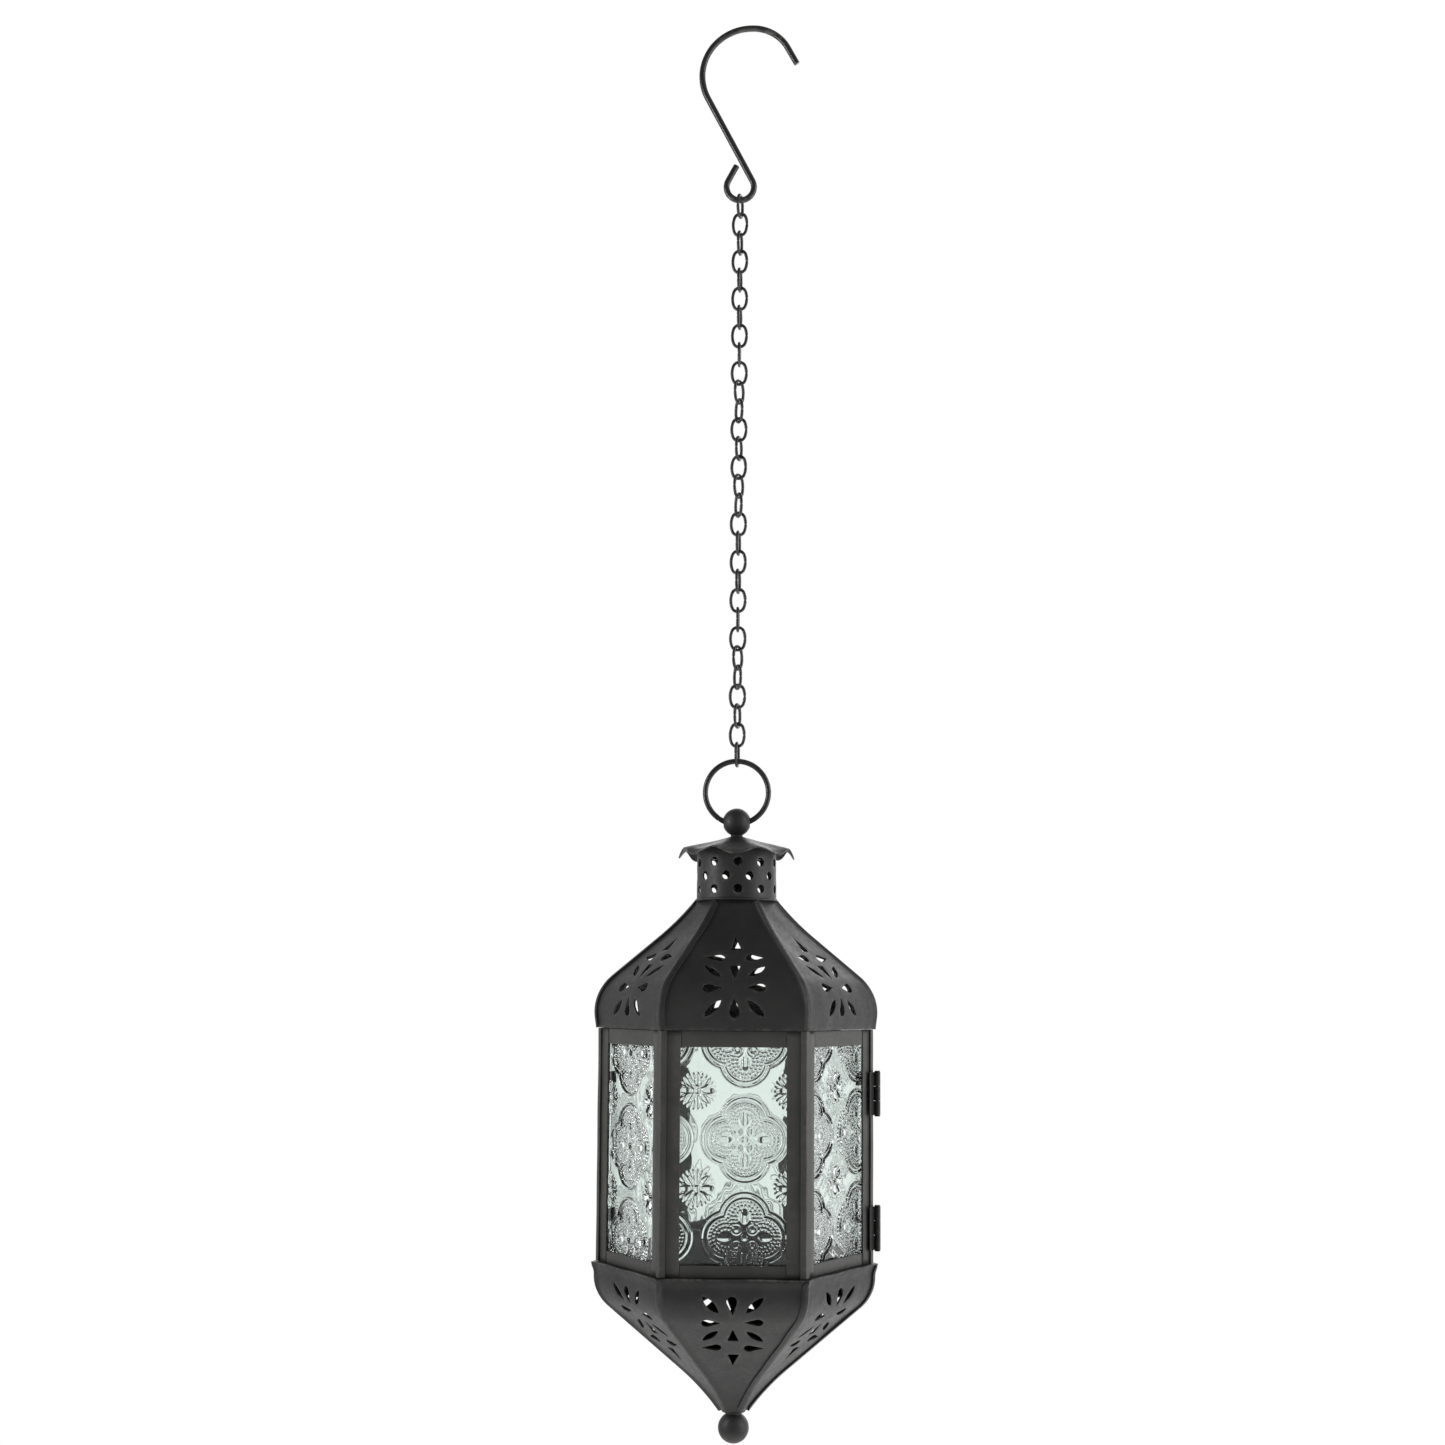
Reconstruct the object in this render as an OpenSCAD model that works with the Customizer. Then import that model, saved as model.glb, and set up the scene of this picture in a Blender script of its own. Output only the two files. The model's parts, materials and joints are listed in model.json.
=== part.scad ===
// Hanging candle lantern: a six-sided sheet-metal body with pressed glass panes, a pierced ogee roof
// and bowl, and a chimney under a scalloped cap. It hangs by a ring and a chain from an S-hook.
// Millimetres, +Z up. The origin is the hook's seat: the underside of its bow, on the lantern's axis.
// A face of the body looks along -Y, corners point along +X and -X, and the door faces back and right.

/* [Hook] */
// Wire diameter of the S-hook
hook_wire = 2.7; // [2.2:0.1:3]
// Centreline radius of the large bow
bow_r = 21.5; // [19:0.5:24]
// How far the bow's centre stands to the right of the chain
bow_offset = 4.8; // [2:0.2:7]
// Height from the bow's centre down to the small loop's centre
bow_to_loop = 49.8; // [44:0.5:60]
// Centreline radius of the small loop that holds the chain
loop_r = 5.9; // [5.5:0.1:7]

/* [Chain and ring] */
// Number of links in the chain
links = 30; // [12:1:30]
// Wire diameter of a link
link_wire = 1.35; // [1.1:0.05:1.4]
// Outer length of a link
link_l = 11.1; // [10.5:0.1:12]
// Outer width of a link
link_w = 7.5; // [7:0.1:8]
// Slack between the wires where two links hang together
slack = 0.2; // [0.15:0.05:0.4]
// Wire diameter of the hanging ring
ring_wire = 2.3; // [2:0.1:2.6]
// Centreline radius of the hanging ring
ring_r = 13.2; // [12:0.2:15]

/* [Body] */
// Distance from the axis to the body's corners
corner_r = 57; // [56:0.5:60]
// Height of the glazed body between roof and bowl
body_h = 95; // [90:1:110]
// Sheet thickness of posts, roof and bowl
sheet = 0.8; // [0.7:0.05:0.9]
// Width of each flange of a corner post
flange_w = 2.4; // [2.3:0.1:2.5]
// Width of the glass that shows in a frame
light_w = 41.5; // [38:0.5:42]
// Height of the bottom rail of a frame, from the post's foot to the glass
rail_low = 4.8; // [4.4:0.2:8]
// Height of the top rail of a frame, from the glass to the post's head
rail_top = 6.4; // [5:0.2:10]
// Thickness of the pressed glass
glass_t = 2.6; // [2:0.1:2.8]

/* [Chimney and cap] */
// Outer radius of the chimney collar
collar_r = 16.6; // [16:0.1:16.9]
// Height of the chimney collar
collar_h = 21.8; // [20:0.2:22]
// Radius of the holes in the collar
collar_hole_r = 1.8; // [1.4:0.1:2]
// Radius of the cap at the tips of its lobes
cap_r = 25.3; // [24.5:0.1:25.5]
// Radius of the hanger ball on top
hanger_ball_r = 5.85; // [5.5:0.05:6.2]
// Radius of the finial ball below
finial_r = 6.3; // [5.5:0.1:7]

/* [Candle cup and door] */
// Inner radius of the candle cup
cup_r = 20.3; // [19.5:0.1:21]
// Height of the candle cup
cup_h = 14; // [12:1:22]
// Height of one butt hinge
hinge_h = 17.6; // [15:0.1:20]
// Radius of a hinge knuckle
knuckle_r = 1.3; // [1.2:0.05:1.3]
// Radius of a hinge pin
pin_r = 0.7; // [0.6:0.05:0.75]

/* [Hidden] */
$fn = 96;
BLACK = [0.13, 0.13, 0.135];
WIRE = [0.09, 0.09, 0.095];
GLASS = [0.78, 0.88, 0.84, 0.5];
gap = 0.05;                         // clearance between pieces of one body
half = 30;                          // half of a hexagon side's angle

// Hook
bow_z = -sqrt(pow(bow_r - hook_wire / 2, 2) - pow(bow_offset, 2));
loop_z = bow_z - bow_to_loop;
tip_l = 8;                          // straight open end of the bow
tip_r = 17;                         // tighter bend between the bow's top and its open end
tip_turn = 61;
top_l = 0.6;                        // straight run between the two bends, at the top
centres = sqrt(pow(bow_offset, 2) + pow(bow_to_loop, 2));
shank_l = sqrt(pow(centres, 2) - pow(bow_r + loop_r, 2));
shank_heading = 180 + atan2(bow_to_loop, bow_offset) + asin((bow_r + loop_r) / centres);
loop_turn = 236;                    // how far the small loop curls round
tail_l = 7.3;                        // straight end of the small loop

// Chain and ring
pitch = link_l - 2 * link_wire - slack;
link_arc = (link_w - link_wire) / 2;
link_straight = link_l - link_wire - 2 * link_arc;
// How far each link is turned about the chain. Most cross the link above nearly squarely.
LINK_TURN = [72, 164, 76, 168, 80, 170, 80, 172, 88, 178, 56, 116, 176, 70, 164,
             56, 114, 178, 80, 170, 78, 172, 88, 178, 56, 116, 176, 70, 164, 80];
chain_top = loop_z - loop_r + (hook_wire + link_wire) / 2 + slack;
chain_bottom = chain_top - links * (link_l - link_wire) + (links - 1) * (link_wire + slack);
ring_z = chain_bottom + (link_wire + ring_wire) / 2 + slack - ring_r;
bore_rise = 0.7;                    // the ball's bore sits this far above the ring's lowest point
ball_bore_r = bore_rise + ring_wire / 2 + 0.15;
ball_z = ring_z - ring_r + bore_rise;

// Body: heights below are above the feet of the corner posts
ball_h = 180.6;
feet_z = ball_z - ball_h;
face_r = corner_r * cos(half);      // outer face of the posts
frame_t = 0.9;
frame_r = face_r - sheet - gap;     // outer face of the fixed frames
rail_t = 0.65;                      // the rails lie a little behind the stiles
door_r = face_r;                    // the door closes flush with the posts
light_h = body_h - rail_low - rail_top;
glass_w = light_w + 4;
glass_lap = 2;                      // how far a pane runs past the light above and below
DOOR = 30;
SIDES = [for (k = [1:5]) DOOR + 60 * k];

// Ogee sheets: legs of [length, turn], from the body upwards for the roof and downwards for the bowl
ROOF = [[4.3, 0], [18.5, 53], [23, 0], [20.3, -11.2]];
BOWL = [[5.4, 0], [13.1, 46], [36, 0], [21.65, -14]];
roof_start = [face_r + 0.24, 0, -7];
bowl_start = [face_r + 0.05, 0, 0];
motif_s = [17.4, 18.5];              // arc length up to the flower's centre: roof, bowl
shelf_r = 45.5;                     // inner edge of the roof's and bowl's folded shelves
lip_out = 1.4;                      // the bowl's shelf stands out this far as a lip
shelf_t = 0.7;
roof_end = along_all(ROOF, roof_start);
bowl_end = along_all(BOWL, bowl_start);

// Pierced motif: [shape, across, along, turn], measured from the flower's centre
petal_in = 4.2;
petal_l = 7.9;
petal_w = 4.2;
leaf_off = 8.6;
leaf_l = 9.3;
leaf_w = 3;
star_s = 16.6;
MOTIF = concat(
    [for (a = [45:90:315]) ["leaf", -leaf_off * sign(sin(a)), leaf_off * sign(cos(a)), a]],
    [["petal", 0, -petal_in, 180],
     ["petal", petal_in, 0, -90],
     ["petal", -petal_in, 0, 90],
     ["wedge", 0, petal_in, 0],
     ["petal", petal_in + petal_l, star_s, 90],
     ["petal", -petal_in - petal_l, star_s, -90],
     ["wedge", 0, star_s + petal_in + petal_l, 180]]);

// Chimney
collar_z = roof_end[1] + body_h + gap;
collar_t = 0.8;
row_z = [4.7, 10.1, 15.8];
holes_round = 10;
cap_t = 0.7;
cap_z = 173.2;                      // underside of the cap at its centre
cap_slope = 12;
bolt_r = 1.5;
bolt_hole_r = bolt_r + gap;
bridge_z = 165;
bridge_w = 6;
bridge_t = 0.8;

// Hinges
barrel_x = face_r + gap + knuckle_r;
barrel_y = barrel_x * tan(half);
leaf_t = 0.55;
hinge_z = [14.1, 68.7];
knuckle_gap = 0.15;
pin_head_r = 1.15;
pin_head_h = 0.5;
leaf_reach = 5;
knuckle_clear = 0.35;
door_hinge_y = -25.8;
door_free_y = 25.6;
door_gap_z = 0.9;
stop_y = 24.3;                      // the door's stop lies behind its free edge from here
stop_w = 2.4;
stop_t = 0.7;

// Latch: a small turn button on the back post
latch_y = 27.3;
latch_z = 52;
latch_w = 2.4;
latch_l = 6;
latch_t = 0.7;
latch_r = face_r + 0.4;             // inner face of the button
latch_bore_r = 0.65;

link_names = [for (i = [1:links]) str("link_", i < 10 ? "0" : "", i)];

// ---- Bent profiles ----

// A state is [distance from the axis, height, lean towards the axis]. This moves it along one leg.
function along(leg, state, f = 1) =
    let (a = state[2], length = leg[0] * f, turn = leg[1] * f)
    turn == 0
        ? [state[0] - length * sin(a), state[1] + length * cos(a), a]
        : let (r = length * 180 / (PI * turn))
          [state[0] - r * (cos(a) - cos(a + turn)), state[1] + r * (sin(a + turn) - sin(a)), a + turn];

// The state at the end of all legs
function along_all(legs, state, i = 0) =
    i == len(legs) ? state : along_all(legs, along(legs[i], state), i + 1);

// The state at arc length s
function state_at(legs, state, s, i = 0) =
    s <= legs[i][0] || i == len(legs) - 1
        ? along(legs[i], state, s / legs[i][0])
        : state_at(legs, along(legs[i], state), s - legs[i][0], i + 1);

// All states along the legs, a few degrees apart on the arcs
function walk(legs, state, i = 0) =
    i == len(legs) ? [state]
    : let (n = max(1, ceil(abs(legs[i][1]) / 4.5)))
      concat([for (k = [0:n - 1]) along(legs[i], state, k / n)],
             walk(legs, along(legs[i], state), i + 1));

// Outline of a sheet of thickness t whose outer face follows the states
function sheet_outline(states, t) = concat(
    [for (p = states) [p[0], p[1]]],
    [for (k = [len(states) - 1:-1:0])
        [states[k][0] - t * cos(states[k][2]), states[k][1] - t * sin(states[k][2])]]);

// ---- Shapes used more than once ----

module at_body() {
    translate([0, 0, feet_z]) children();
}

// Turns a piece drawn on the +X side to face the angle a
module facing(a) {
    at_body() rotate([0, 0, a]) children();
}

// A round wire along legs of [length, 0] for a straight run or [radius, angle] for an arc, in XY.
// A straight run is a hair thinner and reaches a little way into the arcs beside it.
module wire(d, legs, i = 0) {
    thinner = 0.05;
    bite = 0.3;
    if (i < len(legs)) {
        size = legs[i][0];
        turn = legs[i][1];
        if (turn == 0) {
            translate([-bite, 0, 0]) rotate([0, 90, 0]) cylinder(d = d - thinner, h = size + 2 * bite);
            translate([size, 0, 0]) wire(d, legs, i + 1);
        } else {
            side = sign(turn);
            mirror([0, side < 0 ? 1 : 0, 0])
                translate([0, size, 0]) rotate([0, 0, -90])
                    rotate_extrude(angle = abs(turn)) translate([size, 0]) circle(d = d, $fn = 32);
            translate([size * sin(abs(turn)), side * size * (1 - cos(turn)), 0])
                rotate([0, 0, turn]) wire(d, legs, i + 1);
        }
    }
}

// A drop with its point at the origin and its round end along +Y
module petal(length, width) {
    r = width / 2;
    c = length - r;
    b = asin(r / c);
    translate([0, c]) circle(r);
    polygon([[0, 0], [c * cos(b) * sin(b), c * cos(b) * cos(b)], [0, c],
             [-c * cos(b) * sin(b), c * cos(b) * cos(b)]]);
}

// A triangle with its point at the origin and its flat end along +Y
module wedge(length, width) {
    polygon([[0, 0], [width / 2, length], [-width / 2, length]]);
}

// A pointed leaf centred on the origin, long along Y
module leaf(length, width) {
    r = (pow(length / 2, 2) + pow(width / 2, 2)) / width;
    intersection() {
        translate([r - width / 2, 0]) circle(r);
        translate([width / 2 - r, 0]) circle(r);
    }
}

module cutout(kind) {
    if (kind == "petal") {
        petal(petal_l, petal_w);
    } else if (kind == "wedge") {
        wedge(petal_l, petal_w + 0.4);
    } else {
        leaf(leaf_l, leaf_w);
    }
}

// The pierced motif, each shape cut square to the bent sheet
module motif(legs, start, centre_s) {
    for (m = MOTIF) {
        p = state_at(legs, start, centre_s + m[2]);
        translate([p[0], m[1], p[1]]) rotate([0, -p[2], 0]) rotate([90, 0, 90])
            rotate([0, 0, m[3]]) linear_extrude(height = 6, center = true) cutout(m[0]);
    }
}

// One ogee sheet of the roof or, mirrored, of the bowl, with its folded shelf
module ogee_sheet(legs, start, centre_s, shelf_to) {
    reach = corner_r + 5;
    shelf_w = shelf_to - shelf_r;
    difference() {
        intersection() {
            union() {
                rotate([90, 0, 0]) linear_extrude(height = 2 * corner_r, center = true)
                    polygon(sheet_outline(walk(legs, start), sheet));
                translate([shelf_r, -corner_r, 0]) cube([shelf_w, 2 * corner_r, shelf_t]);
            }
            translate([0, 0, -1]) linear_extrude(height = body_h)
                polygon([[2 * gap, 0], [reach, -(reach - 2 * gap) * tan(half)],
                         [reach, (reach - 2 * gap) * tan(half)]]);
        }
        motif(legs, start, centre_s);
    }
}

// A sheet frame: two full-height stiles with a rail between them at each end. Its outer face is at
// distance r from the axis.
module frame(r, y0, y1, z0, z1) {
    x = r - frame_t;
    light_y = light_w / 2;
    light_z1 = rail_low + light_h;
    union() {
        translate([x, y0, z0]) cube([frame_t, -light_y - y0, z1 - z0]);
        translate([x, light_y, z0]) cube([frame_t, y1 - light_y, z1 - z0]);
        translate([x, -light_y - 1, z0]) cube([rail_t, light_w + 2, rail_low - z0]);
        translate([x, -light_y - 1, light_z1]) cube([rail_t, light_w + 2, z1 - light_z1]);
    }
}

// A pane whose outer face lies at distance r from the axis
module pane(r) {
    translate([r - glass_t, -glass_w / 2, rail_low - glass_lap])
        cube([glass_t, glass_w, light_h + 2 * glass_lap]);
}

// Four bent clips that hold a pane behind a frame whose inner face is at distance r
module clips(r) {
    clip_t = 0.55;
    clip_w = 5;
    foot_l = 1.1;
    tongue_l = 2.6;
    y = glass_w / 2 + 2 * gap;
    x = r - glass_t - 2 * gap;
    for (s = [-1, 1], z = [rail_low + 14, rail_low + light_h - 14]) {
        translate([0, 0, z]) mirror([0, s < 0 ? 1 : 0, 0])
            linear_extrude(height = clip_w, center = true)
                polygon([[r, y + foot_l], [r, y], [x, y], [x, y - tongue_l],
                         [x - clip_t, y - tongue_l], [x - clip_t, y + clip_t],
                         [r - clip_t, y + clip_t], [r - clip_t, y + foot_l]]);
    }
}

// ---- Hook, chain and ring ----

module s_hook() {
    start_x = bow_offset + top_l + tip_r * sin(tip_turn) + tip_l * cos(tip_turn);
    start_z = bow_z + bow_r - tip_r * (1 - cos(tip_turn)) - tip_l * sin(tip_turn);
    color(WIRE) translate([start_x, 0, start_z]) rotate([90, 0, 0]) rotate([0, 0, 180 - tip_turn])
        wire(hook_wire, [[tip_l, 0], [tip_r, tip_turn], [top_l, 0], [bow_r, shank_heading - 180],
                         [shank_l, 0], [loop_r, -loop_turn], [tail_l, 0]]);
}

module chain_link(i) {
    z = chain_top - (link_l - link_wire) / 2 - (i - 1) * pitch;
    color(WIRE) translate([0, 0, z]) rotate([0, 0, LINK_TURN[i - 1]]) rotate([90, 90, 0])
        translate([-link_straight / 2, -link_arc, 0])
            wire(link_wire, [[link_straight, 0], [link_arc, 180], [link_straight, 0], [link_arc, 180]]);
}

module hanging_ring() {
    color(WIRE) translate([0, 0, ring_z]) rotate([90, 0, 0])
        rotate_extrude() translate([ring_r, 0]) circle(d = ring_wire, $fn = 32);
}

// ---- Hanger, cap and chimney ----

module hanger_ball() {
    neck_r = 2.8;
    neck_z = cap_z + cap_t + gap;
    color(BLACK) at_body() difference() {
        union() {
            translate([0, 0, ball_h]) sphere(r = hanger_ball_r);
            translate([0, 0, neck_z]) cylinder(r = neck_r, h = ball_h - neck_z - 1);
        }
        translate([-10, 0, ball_h]) rotate([0, 90, 0]) cylinder(r = ball_bore_r, h = 20);
        translate([0, 0, neck_z - 1]) cylinder(r = bolt_hole_r, h = ball_h - neck_z - ball_bore_r);
    }
}

module hanger_bolt() {
    head_h = 2.2;
    color(BLACK) at_body() {
        translate([0, 0, bridge_z - head_h - gap]) cylinder(r = 2.8, h = head_h, $fn = 6);
        translate([0, 0, bridge_z - head_h / 2]) cylinder(r = bolt_r, h = 11);
    }
}

module chimney_bridge() {
    reach = collar_r - collar_t - 0.4;
    tab = 5;
    color(BLACK) at_body() difference() {
        union() {
            translate([-reach, -bridge_w / 2, bridge_z]) cube([2 * reach, bridge_w, bridge_t]);
            for (s = [-1, 1]) {
                translate([s * (reach - bridge_t / 2) - bridge_t / 2, -bridge_w / 2, bridge_z - tab])
                    cube([bridge_t, bridge_w, tab + bridge_t]);
            }
        }
        translate([0, 0, bridge_z - 1]) cylinder(r = bolt_hole_r, h = 3);
    }
}

module scalloped_cap() {
    lobes = 8;
    lobe_r = 7.2;
    curl_r = 6;
    curl = 64;
    flat_l = 20.6;
    states = walk([[flat_l, 0], [curl_r * curl * PI / 180, -curl]], [0, cap_z, -90 - cap_slope]);
    color(BLACK) at_body() difference() {
        intersection() {
            rotate_extrude() polygon(sheet_outline(states, cap_t));
            translate([0, 0, cap_z - 15]) linear_extrude(height = 20) {
                circle(r = cap_r - 2.9);
                for (k = [0:lobes - 1]) {
                    rotate(k * 360 / lobes) translate([cap_r - lobe_r, 0]) circle(r = lobe_r);
                }
            }
        }
        translate([0, 0, cap_z - 2]) cylinder(r = bolt_hole_r, h = 5);
    }
}

module chimney_collar() {
    first = -87;                    // a hole a little to the right of the front
    color(BLACK) at_body() translate([0, 0, collar_z]) difference() {
        cylinder(r = collar_r, h = collar_h);
        translate([0, 0, -1]) cylinder(r = collar_r - collar_t, h = collar_h + 2);
        for (row = [0:2], k = [0:holes_round - 1]) {
            rotate([0, 0, first + (k + (row == 1 ? 0.5 : 0)) * 360 / holes_round])
                translate([collar_r - 2, 0, row_z[row]]) rotate([0, 90, 0])
                    cylinder(r = collar_hole_r, h = 4);
        }
    }
}

// ---- Roof, posts, frames and glass ----

module roof_panels() {
    color(BLACK) for (a = [DOOR:60:330]) {
        facing(a) translate([0, 0, body_h])
            ogee_sheet(ROOF, roof_start, motif_s[0], roof_start[0] - sheet / 2);
    }
}

module corner_posts() {
    inner = corner_r - sheet / cos(half);
    e = [cos(120), sin(120)] * flange_w;
    n = [cos(half), sin(half)] * sheet;
    section = [[corner_r, 0], [corner_r, 0] + e, [corner_r, 0] + e - n, [inner, 0],
               [corner_r + e[0] - n[0], -e[1] + n[1]], [corner_r + e[0], -e[1]]];
    color(BLACK) for (a = [0:60:300]) {
        facing(a) translate([0, 0, gap]) linear_extrude(height = body_h - 2 * gap) polygon(section);
    }
}

module side_frames() {
    y = frame_r * tan(half) - 0.8;
    color(BLACK) for (a = SIDES) {
        facing(a) frame(frame_r, -y, y, 0.4, body_h - 0.4);
    }
}

module side_glass() {
    color(GLASS) for (a = SIDES) {
        facing(a) pane(frame_r - frame_t - gap);
    }
}

module side_glass_clips() {
    color(BLACK) for (a = SIDES) {
        facing(a) clips(frame_r - frame_t);
    }
}

// ---- Door, hinges and latch ----

module door_frame() {
    color(BLACK) facing(DOOR)
        frame(door_r, door_hinge_y, door_free_y, door_gap_z, body_h - door_gap_z);
}

// A strip behind the free edge, fixed to the back post, that the door closes against
module door_stop() {
    x = door_r - frame_t - gap - stop_t;
    color(BLACK) facing(DOOR) translate([x, stop_y, 2]) cube([stop_t, stop_w, body_h - 4]);
}

module door_glass() {
    color(GLASS) facing(DOOR) pane(door_r - frame_t - gap);
}

module door_glass_clips() {
    color(BLACK) facing(DOOR) clips(door_r - frame_t);
}

// A tube of the hinge barrel between two heights, drawn where the barrel stands on the +Y side
module knuckle(z0, z1) {
    translate([barrel_x, barrel_y, z0]) difference() {
        cylinder(r = knuckle_r, h = z1 - z0);
        translate([0, 0, -1]) cylinder(r = pin_r + gap, h = z1 - z0 + 2);
    }
}

// Fixed leaf: flat on the post beside the door, curled into the two outer knuckles
module hinge_post_leaves() {
    half_middle = hinge_h / 6;
    x = face_r + gap;
    color(BLACK) for (z = hinge_z) {
        facing(DOOR - 60) translate([0, 0, z]) {
            translate([x, barrel_y - knuckle_r - knuckle_clear - leaf_reach + 1.5, -hinge_h / 2])
                cube([leaf_t, leaf_reach - 1.5, hinge_h]);
            for (s = [-1, 1]) {
                z0 = s > 0 ? half_middle + knuckle_gap / 2 : -hinge_h / 2;
                z1 = s > 0 ? hinge_h / 2 : -half_middle - knuckle_gap / 2;
                knuckle(z0, z1);
                translate([x, barrel_y - knuckle_r - knuckle_clear - 1, z0])
                    cube([leaf_t, knuckle_r + knuckle_clear + 1, z1 - z0]);
            }
        }
    }
}

// Moving leaf: flat on the door, curled into the middle knuckle
module hinge_door_leaves() {
    half_middle = hinge_h / 6;
    x = face_r + gap;
    color(BLACK) for (z = hinge_z) {
        facing(DOOR) translate([0, 0, z]) mirror([0, 1, 0]) {
            translate([x, barrel_y - knuckle_r - knuckle_clear - leaf_reach, -hinge_h / 2])
                cube([leaf_t, leaf_reach, hinge_h]);
            translate([x, barrel_y - knuckle_r - knuckle_clear - 1, -half_middle + knuckle_gap / 2])
                cube([leaf_t, knuckle_r + knuckle_clear + 1, 2 * half_middle - knuckle_gap]);
            knuckle(-half_middle + knuckle_gap / 2, half_middle - knuckle_gap / 2);
        }
    }
}

module hinge_pins() {
    color(BLACK) for (z = hinge_z) {
        facing(DOOR - 60) translate([barrel_x, barrel_y, z]) {
            translate([0, 0, -hinge_h / 2 - pin_head_h]) cylinder(r = pin_r, h = hinge_h + 2 * pin_head_h);
            for (s = [-1, 1]) {
                translate([0, 0, s * (hinge_h / 2 + gap) - (s < 0 ? pin_head_h : 0)])
                    cylinder(r = pin_head_r, h = pin_head_h);
            }
        }
    }
}

module latch_rivet() {
    shank_r = latch_bore_r - gap;
    head_r = 1.15;
    color(BLACK) facing(DOOR) translate([0, latch_y, latch_z]) rotate([0, 90, 0]) {
        translate([0, 0, face_r + gap]) cylinder(r = 1.1, h = latch_r - face_r - 2 * gap);
        translate([0, 0, face_r + 2 * gap]) cylinder(r = shank_r, h = latch_r + latch_t - face_r);
        translate([0, 0, latch_r + latch_t + 2 * gap]) cylinder(r = head_r, h = 0.6);
    }
}

module latch_button() {
    color(BLACK) facing(DOOR) translate([latch_r, latch_y, latch_z]) difference() {
        union() {
            translate([0, -latch_w / 2, -latch_l]) cube([latch_t, latch_w, latch_l]);
            rotate([0, 90, 0]) cylinder(r = latch_w / 2, h = latch_t);
            translate([0, 0, -latch_l]) rotate([0, 90, 0]) cylinder(r = latch_w / 2, h = latch_t);
        }
        translate([-1, 0, 0]) rotate([0, 90, 0]) cylinder(r = latch_bore_r, h = 3);
    }
}

// ---- Floor, candle cup, bowl and finial ----

module floor_plate() {
    plate_r = (frame_r - frame_t - 0.6) / cos(half);
    color(BLACK) at_body() translate([0, 0, gap]) cylinder(r = plate_r, h = sheet, $fn = 6);
}

module candle_cup() {
    wall = 0.6;
    color(BLACK) at_body() translate([0, 0, sheet + 2 * gap]) difference() {
        cylinder(r = cup_r + wall, h = cup_h);
        translate([0, 0, wall]) cylinder(r = cup_r, h = cup_h);
    }
}

module bowl_panels() {
    color(BLACK) for (a = [DOOR:60:330]) {
        facing(a) mirror([0, 0, 1])
            ogee_sheet(BOWL, bowl_start, motif_s[1], bowl_start[0] + lip_out);
    }
}

module finial_ball() {
    neck_r = 3.2;
    foot_r = 4.8;
    foot_z = -bowl_end[1] - gap;
    ball_low = foot_z - 7.2;
    color(BLACK) at_body() difference() {
        union() {
            translate([0, 0, ball_low]) sphere(r = finial_r);
            translate([0, 0, ball_low]) cylinder(r = neck_r, h = foot_z - ball_low);
            translate([0, 0, foot_z - 0.8]) cylinder(r = foot_r, h = 0.8);
        }
        translate([0, 0, ball_low]) cylinder(r = bolt_hole_r, h = 10);
    }
}

module finial_screw() {
    head_r = 3.6;
    head_z = -bowl_end[1] + 3.2;
    color(BLACK) at_body() {
        translate([0, 0, head_z]) cylinder(r = head_r, h = 1.4);
        translate([0, 0, head_z - 9]) cylinder(r = bolt_r, h = 9.5);
    }
}

for (i = [1:links]) {
    chain_link(i);
}
s_hook();
hanging_ring();
hanger_ball();
hanger_bolt();
chimney_bridge();
scalloped_cap();
chimney_collar();
roof_panels();
corner_posts();
side_frames();
side_glass();
side_glass_clips();
door_frame();
door_glass();
door_glass_clips();
hinge_post_leaves();
hinge_door_leaves();
hinge_pins();
door_stop();
latch_rivet();
latch_button();
floor_plate();
candle_cup();
bowl_panels();
finial_ball();
finial_screw();
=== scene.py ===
"""Looks of the hanging candle lantern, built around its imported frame.

Lengths are in millimetres until a mesh is made. +Z is up, and the origin is the seat of the hook.
A local height is measured from the feet of the corner posts. A panel is drawn facing +X and turned.
"""

import json
import math

import bmesh
import bpy
import numpy as np
from mathutils import Euler, Matrix, Vector, geometry


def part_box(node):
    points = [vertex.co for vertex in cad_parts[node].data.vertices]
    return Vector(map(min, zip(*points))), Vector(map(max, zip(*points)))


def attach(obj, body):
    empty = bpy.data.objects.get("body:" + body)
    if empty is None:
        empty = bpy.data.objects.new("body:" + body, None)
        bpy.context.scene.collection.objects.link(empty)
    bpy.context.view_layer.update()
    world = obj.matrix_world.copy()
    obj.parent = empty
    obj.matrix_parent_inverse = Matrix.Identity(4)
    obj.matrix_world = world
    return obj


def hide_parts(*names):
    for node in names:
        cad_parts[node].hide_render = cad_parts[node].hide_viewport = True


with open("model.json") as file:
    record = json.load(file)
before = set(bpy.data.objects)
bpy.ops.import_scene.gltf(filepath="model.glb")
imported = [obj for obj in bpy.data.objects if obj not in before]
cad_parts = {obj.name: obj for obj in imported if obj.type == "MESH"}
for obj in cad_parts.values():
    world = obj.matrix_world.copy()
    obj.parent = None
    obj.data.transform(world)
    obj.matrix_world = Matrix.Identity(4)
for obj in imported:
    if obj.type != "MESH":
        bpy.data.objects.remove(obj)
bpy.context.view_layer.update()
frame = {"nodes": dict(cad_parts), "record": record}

MM = 0.001
RECORD = frame["record"]
SLOT_OF = {part["node"]: part["material_slot"] for part in RECORD["subparts"]}
BODY_OF = {node: body for body, nodes in RECORD["behaviour"]["bodies"].items() for node in nodes}


def box_mm(node):
    """Lowest and highest corner of a CAD node, in millimetres."""
    low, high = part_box(node)
    return np.array(low) / MM, np.array(high) / MM


# ---- Sizes ----

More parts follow.
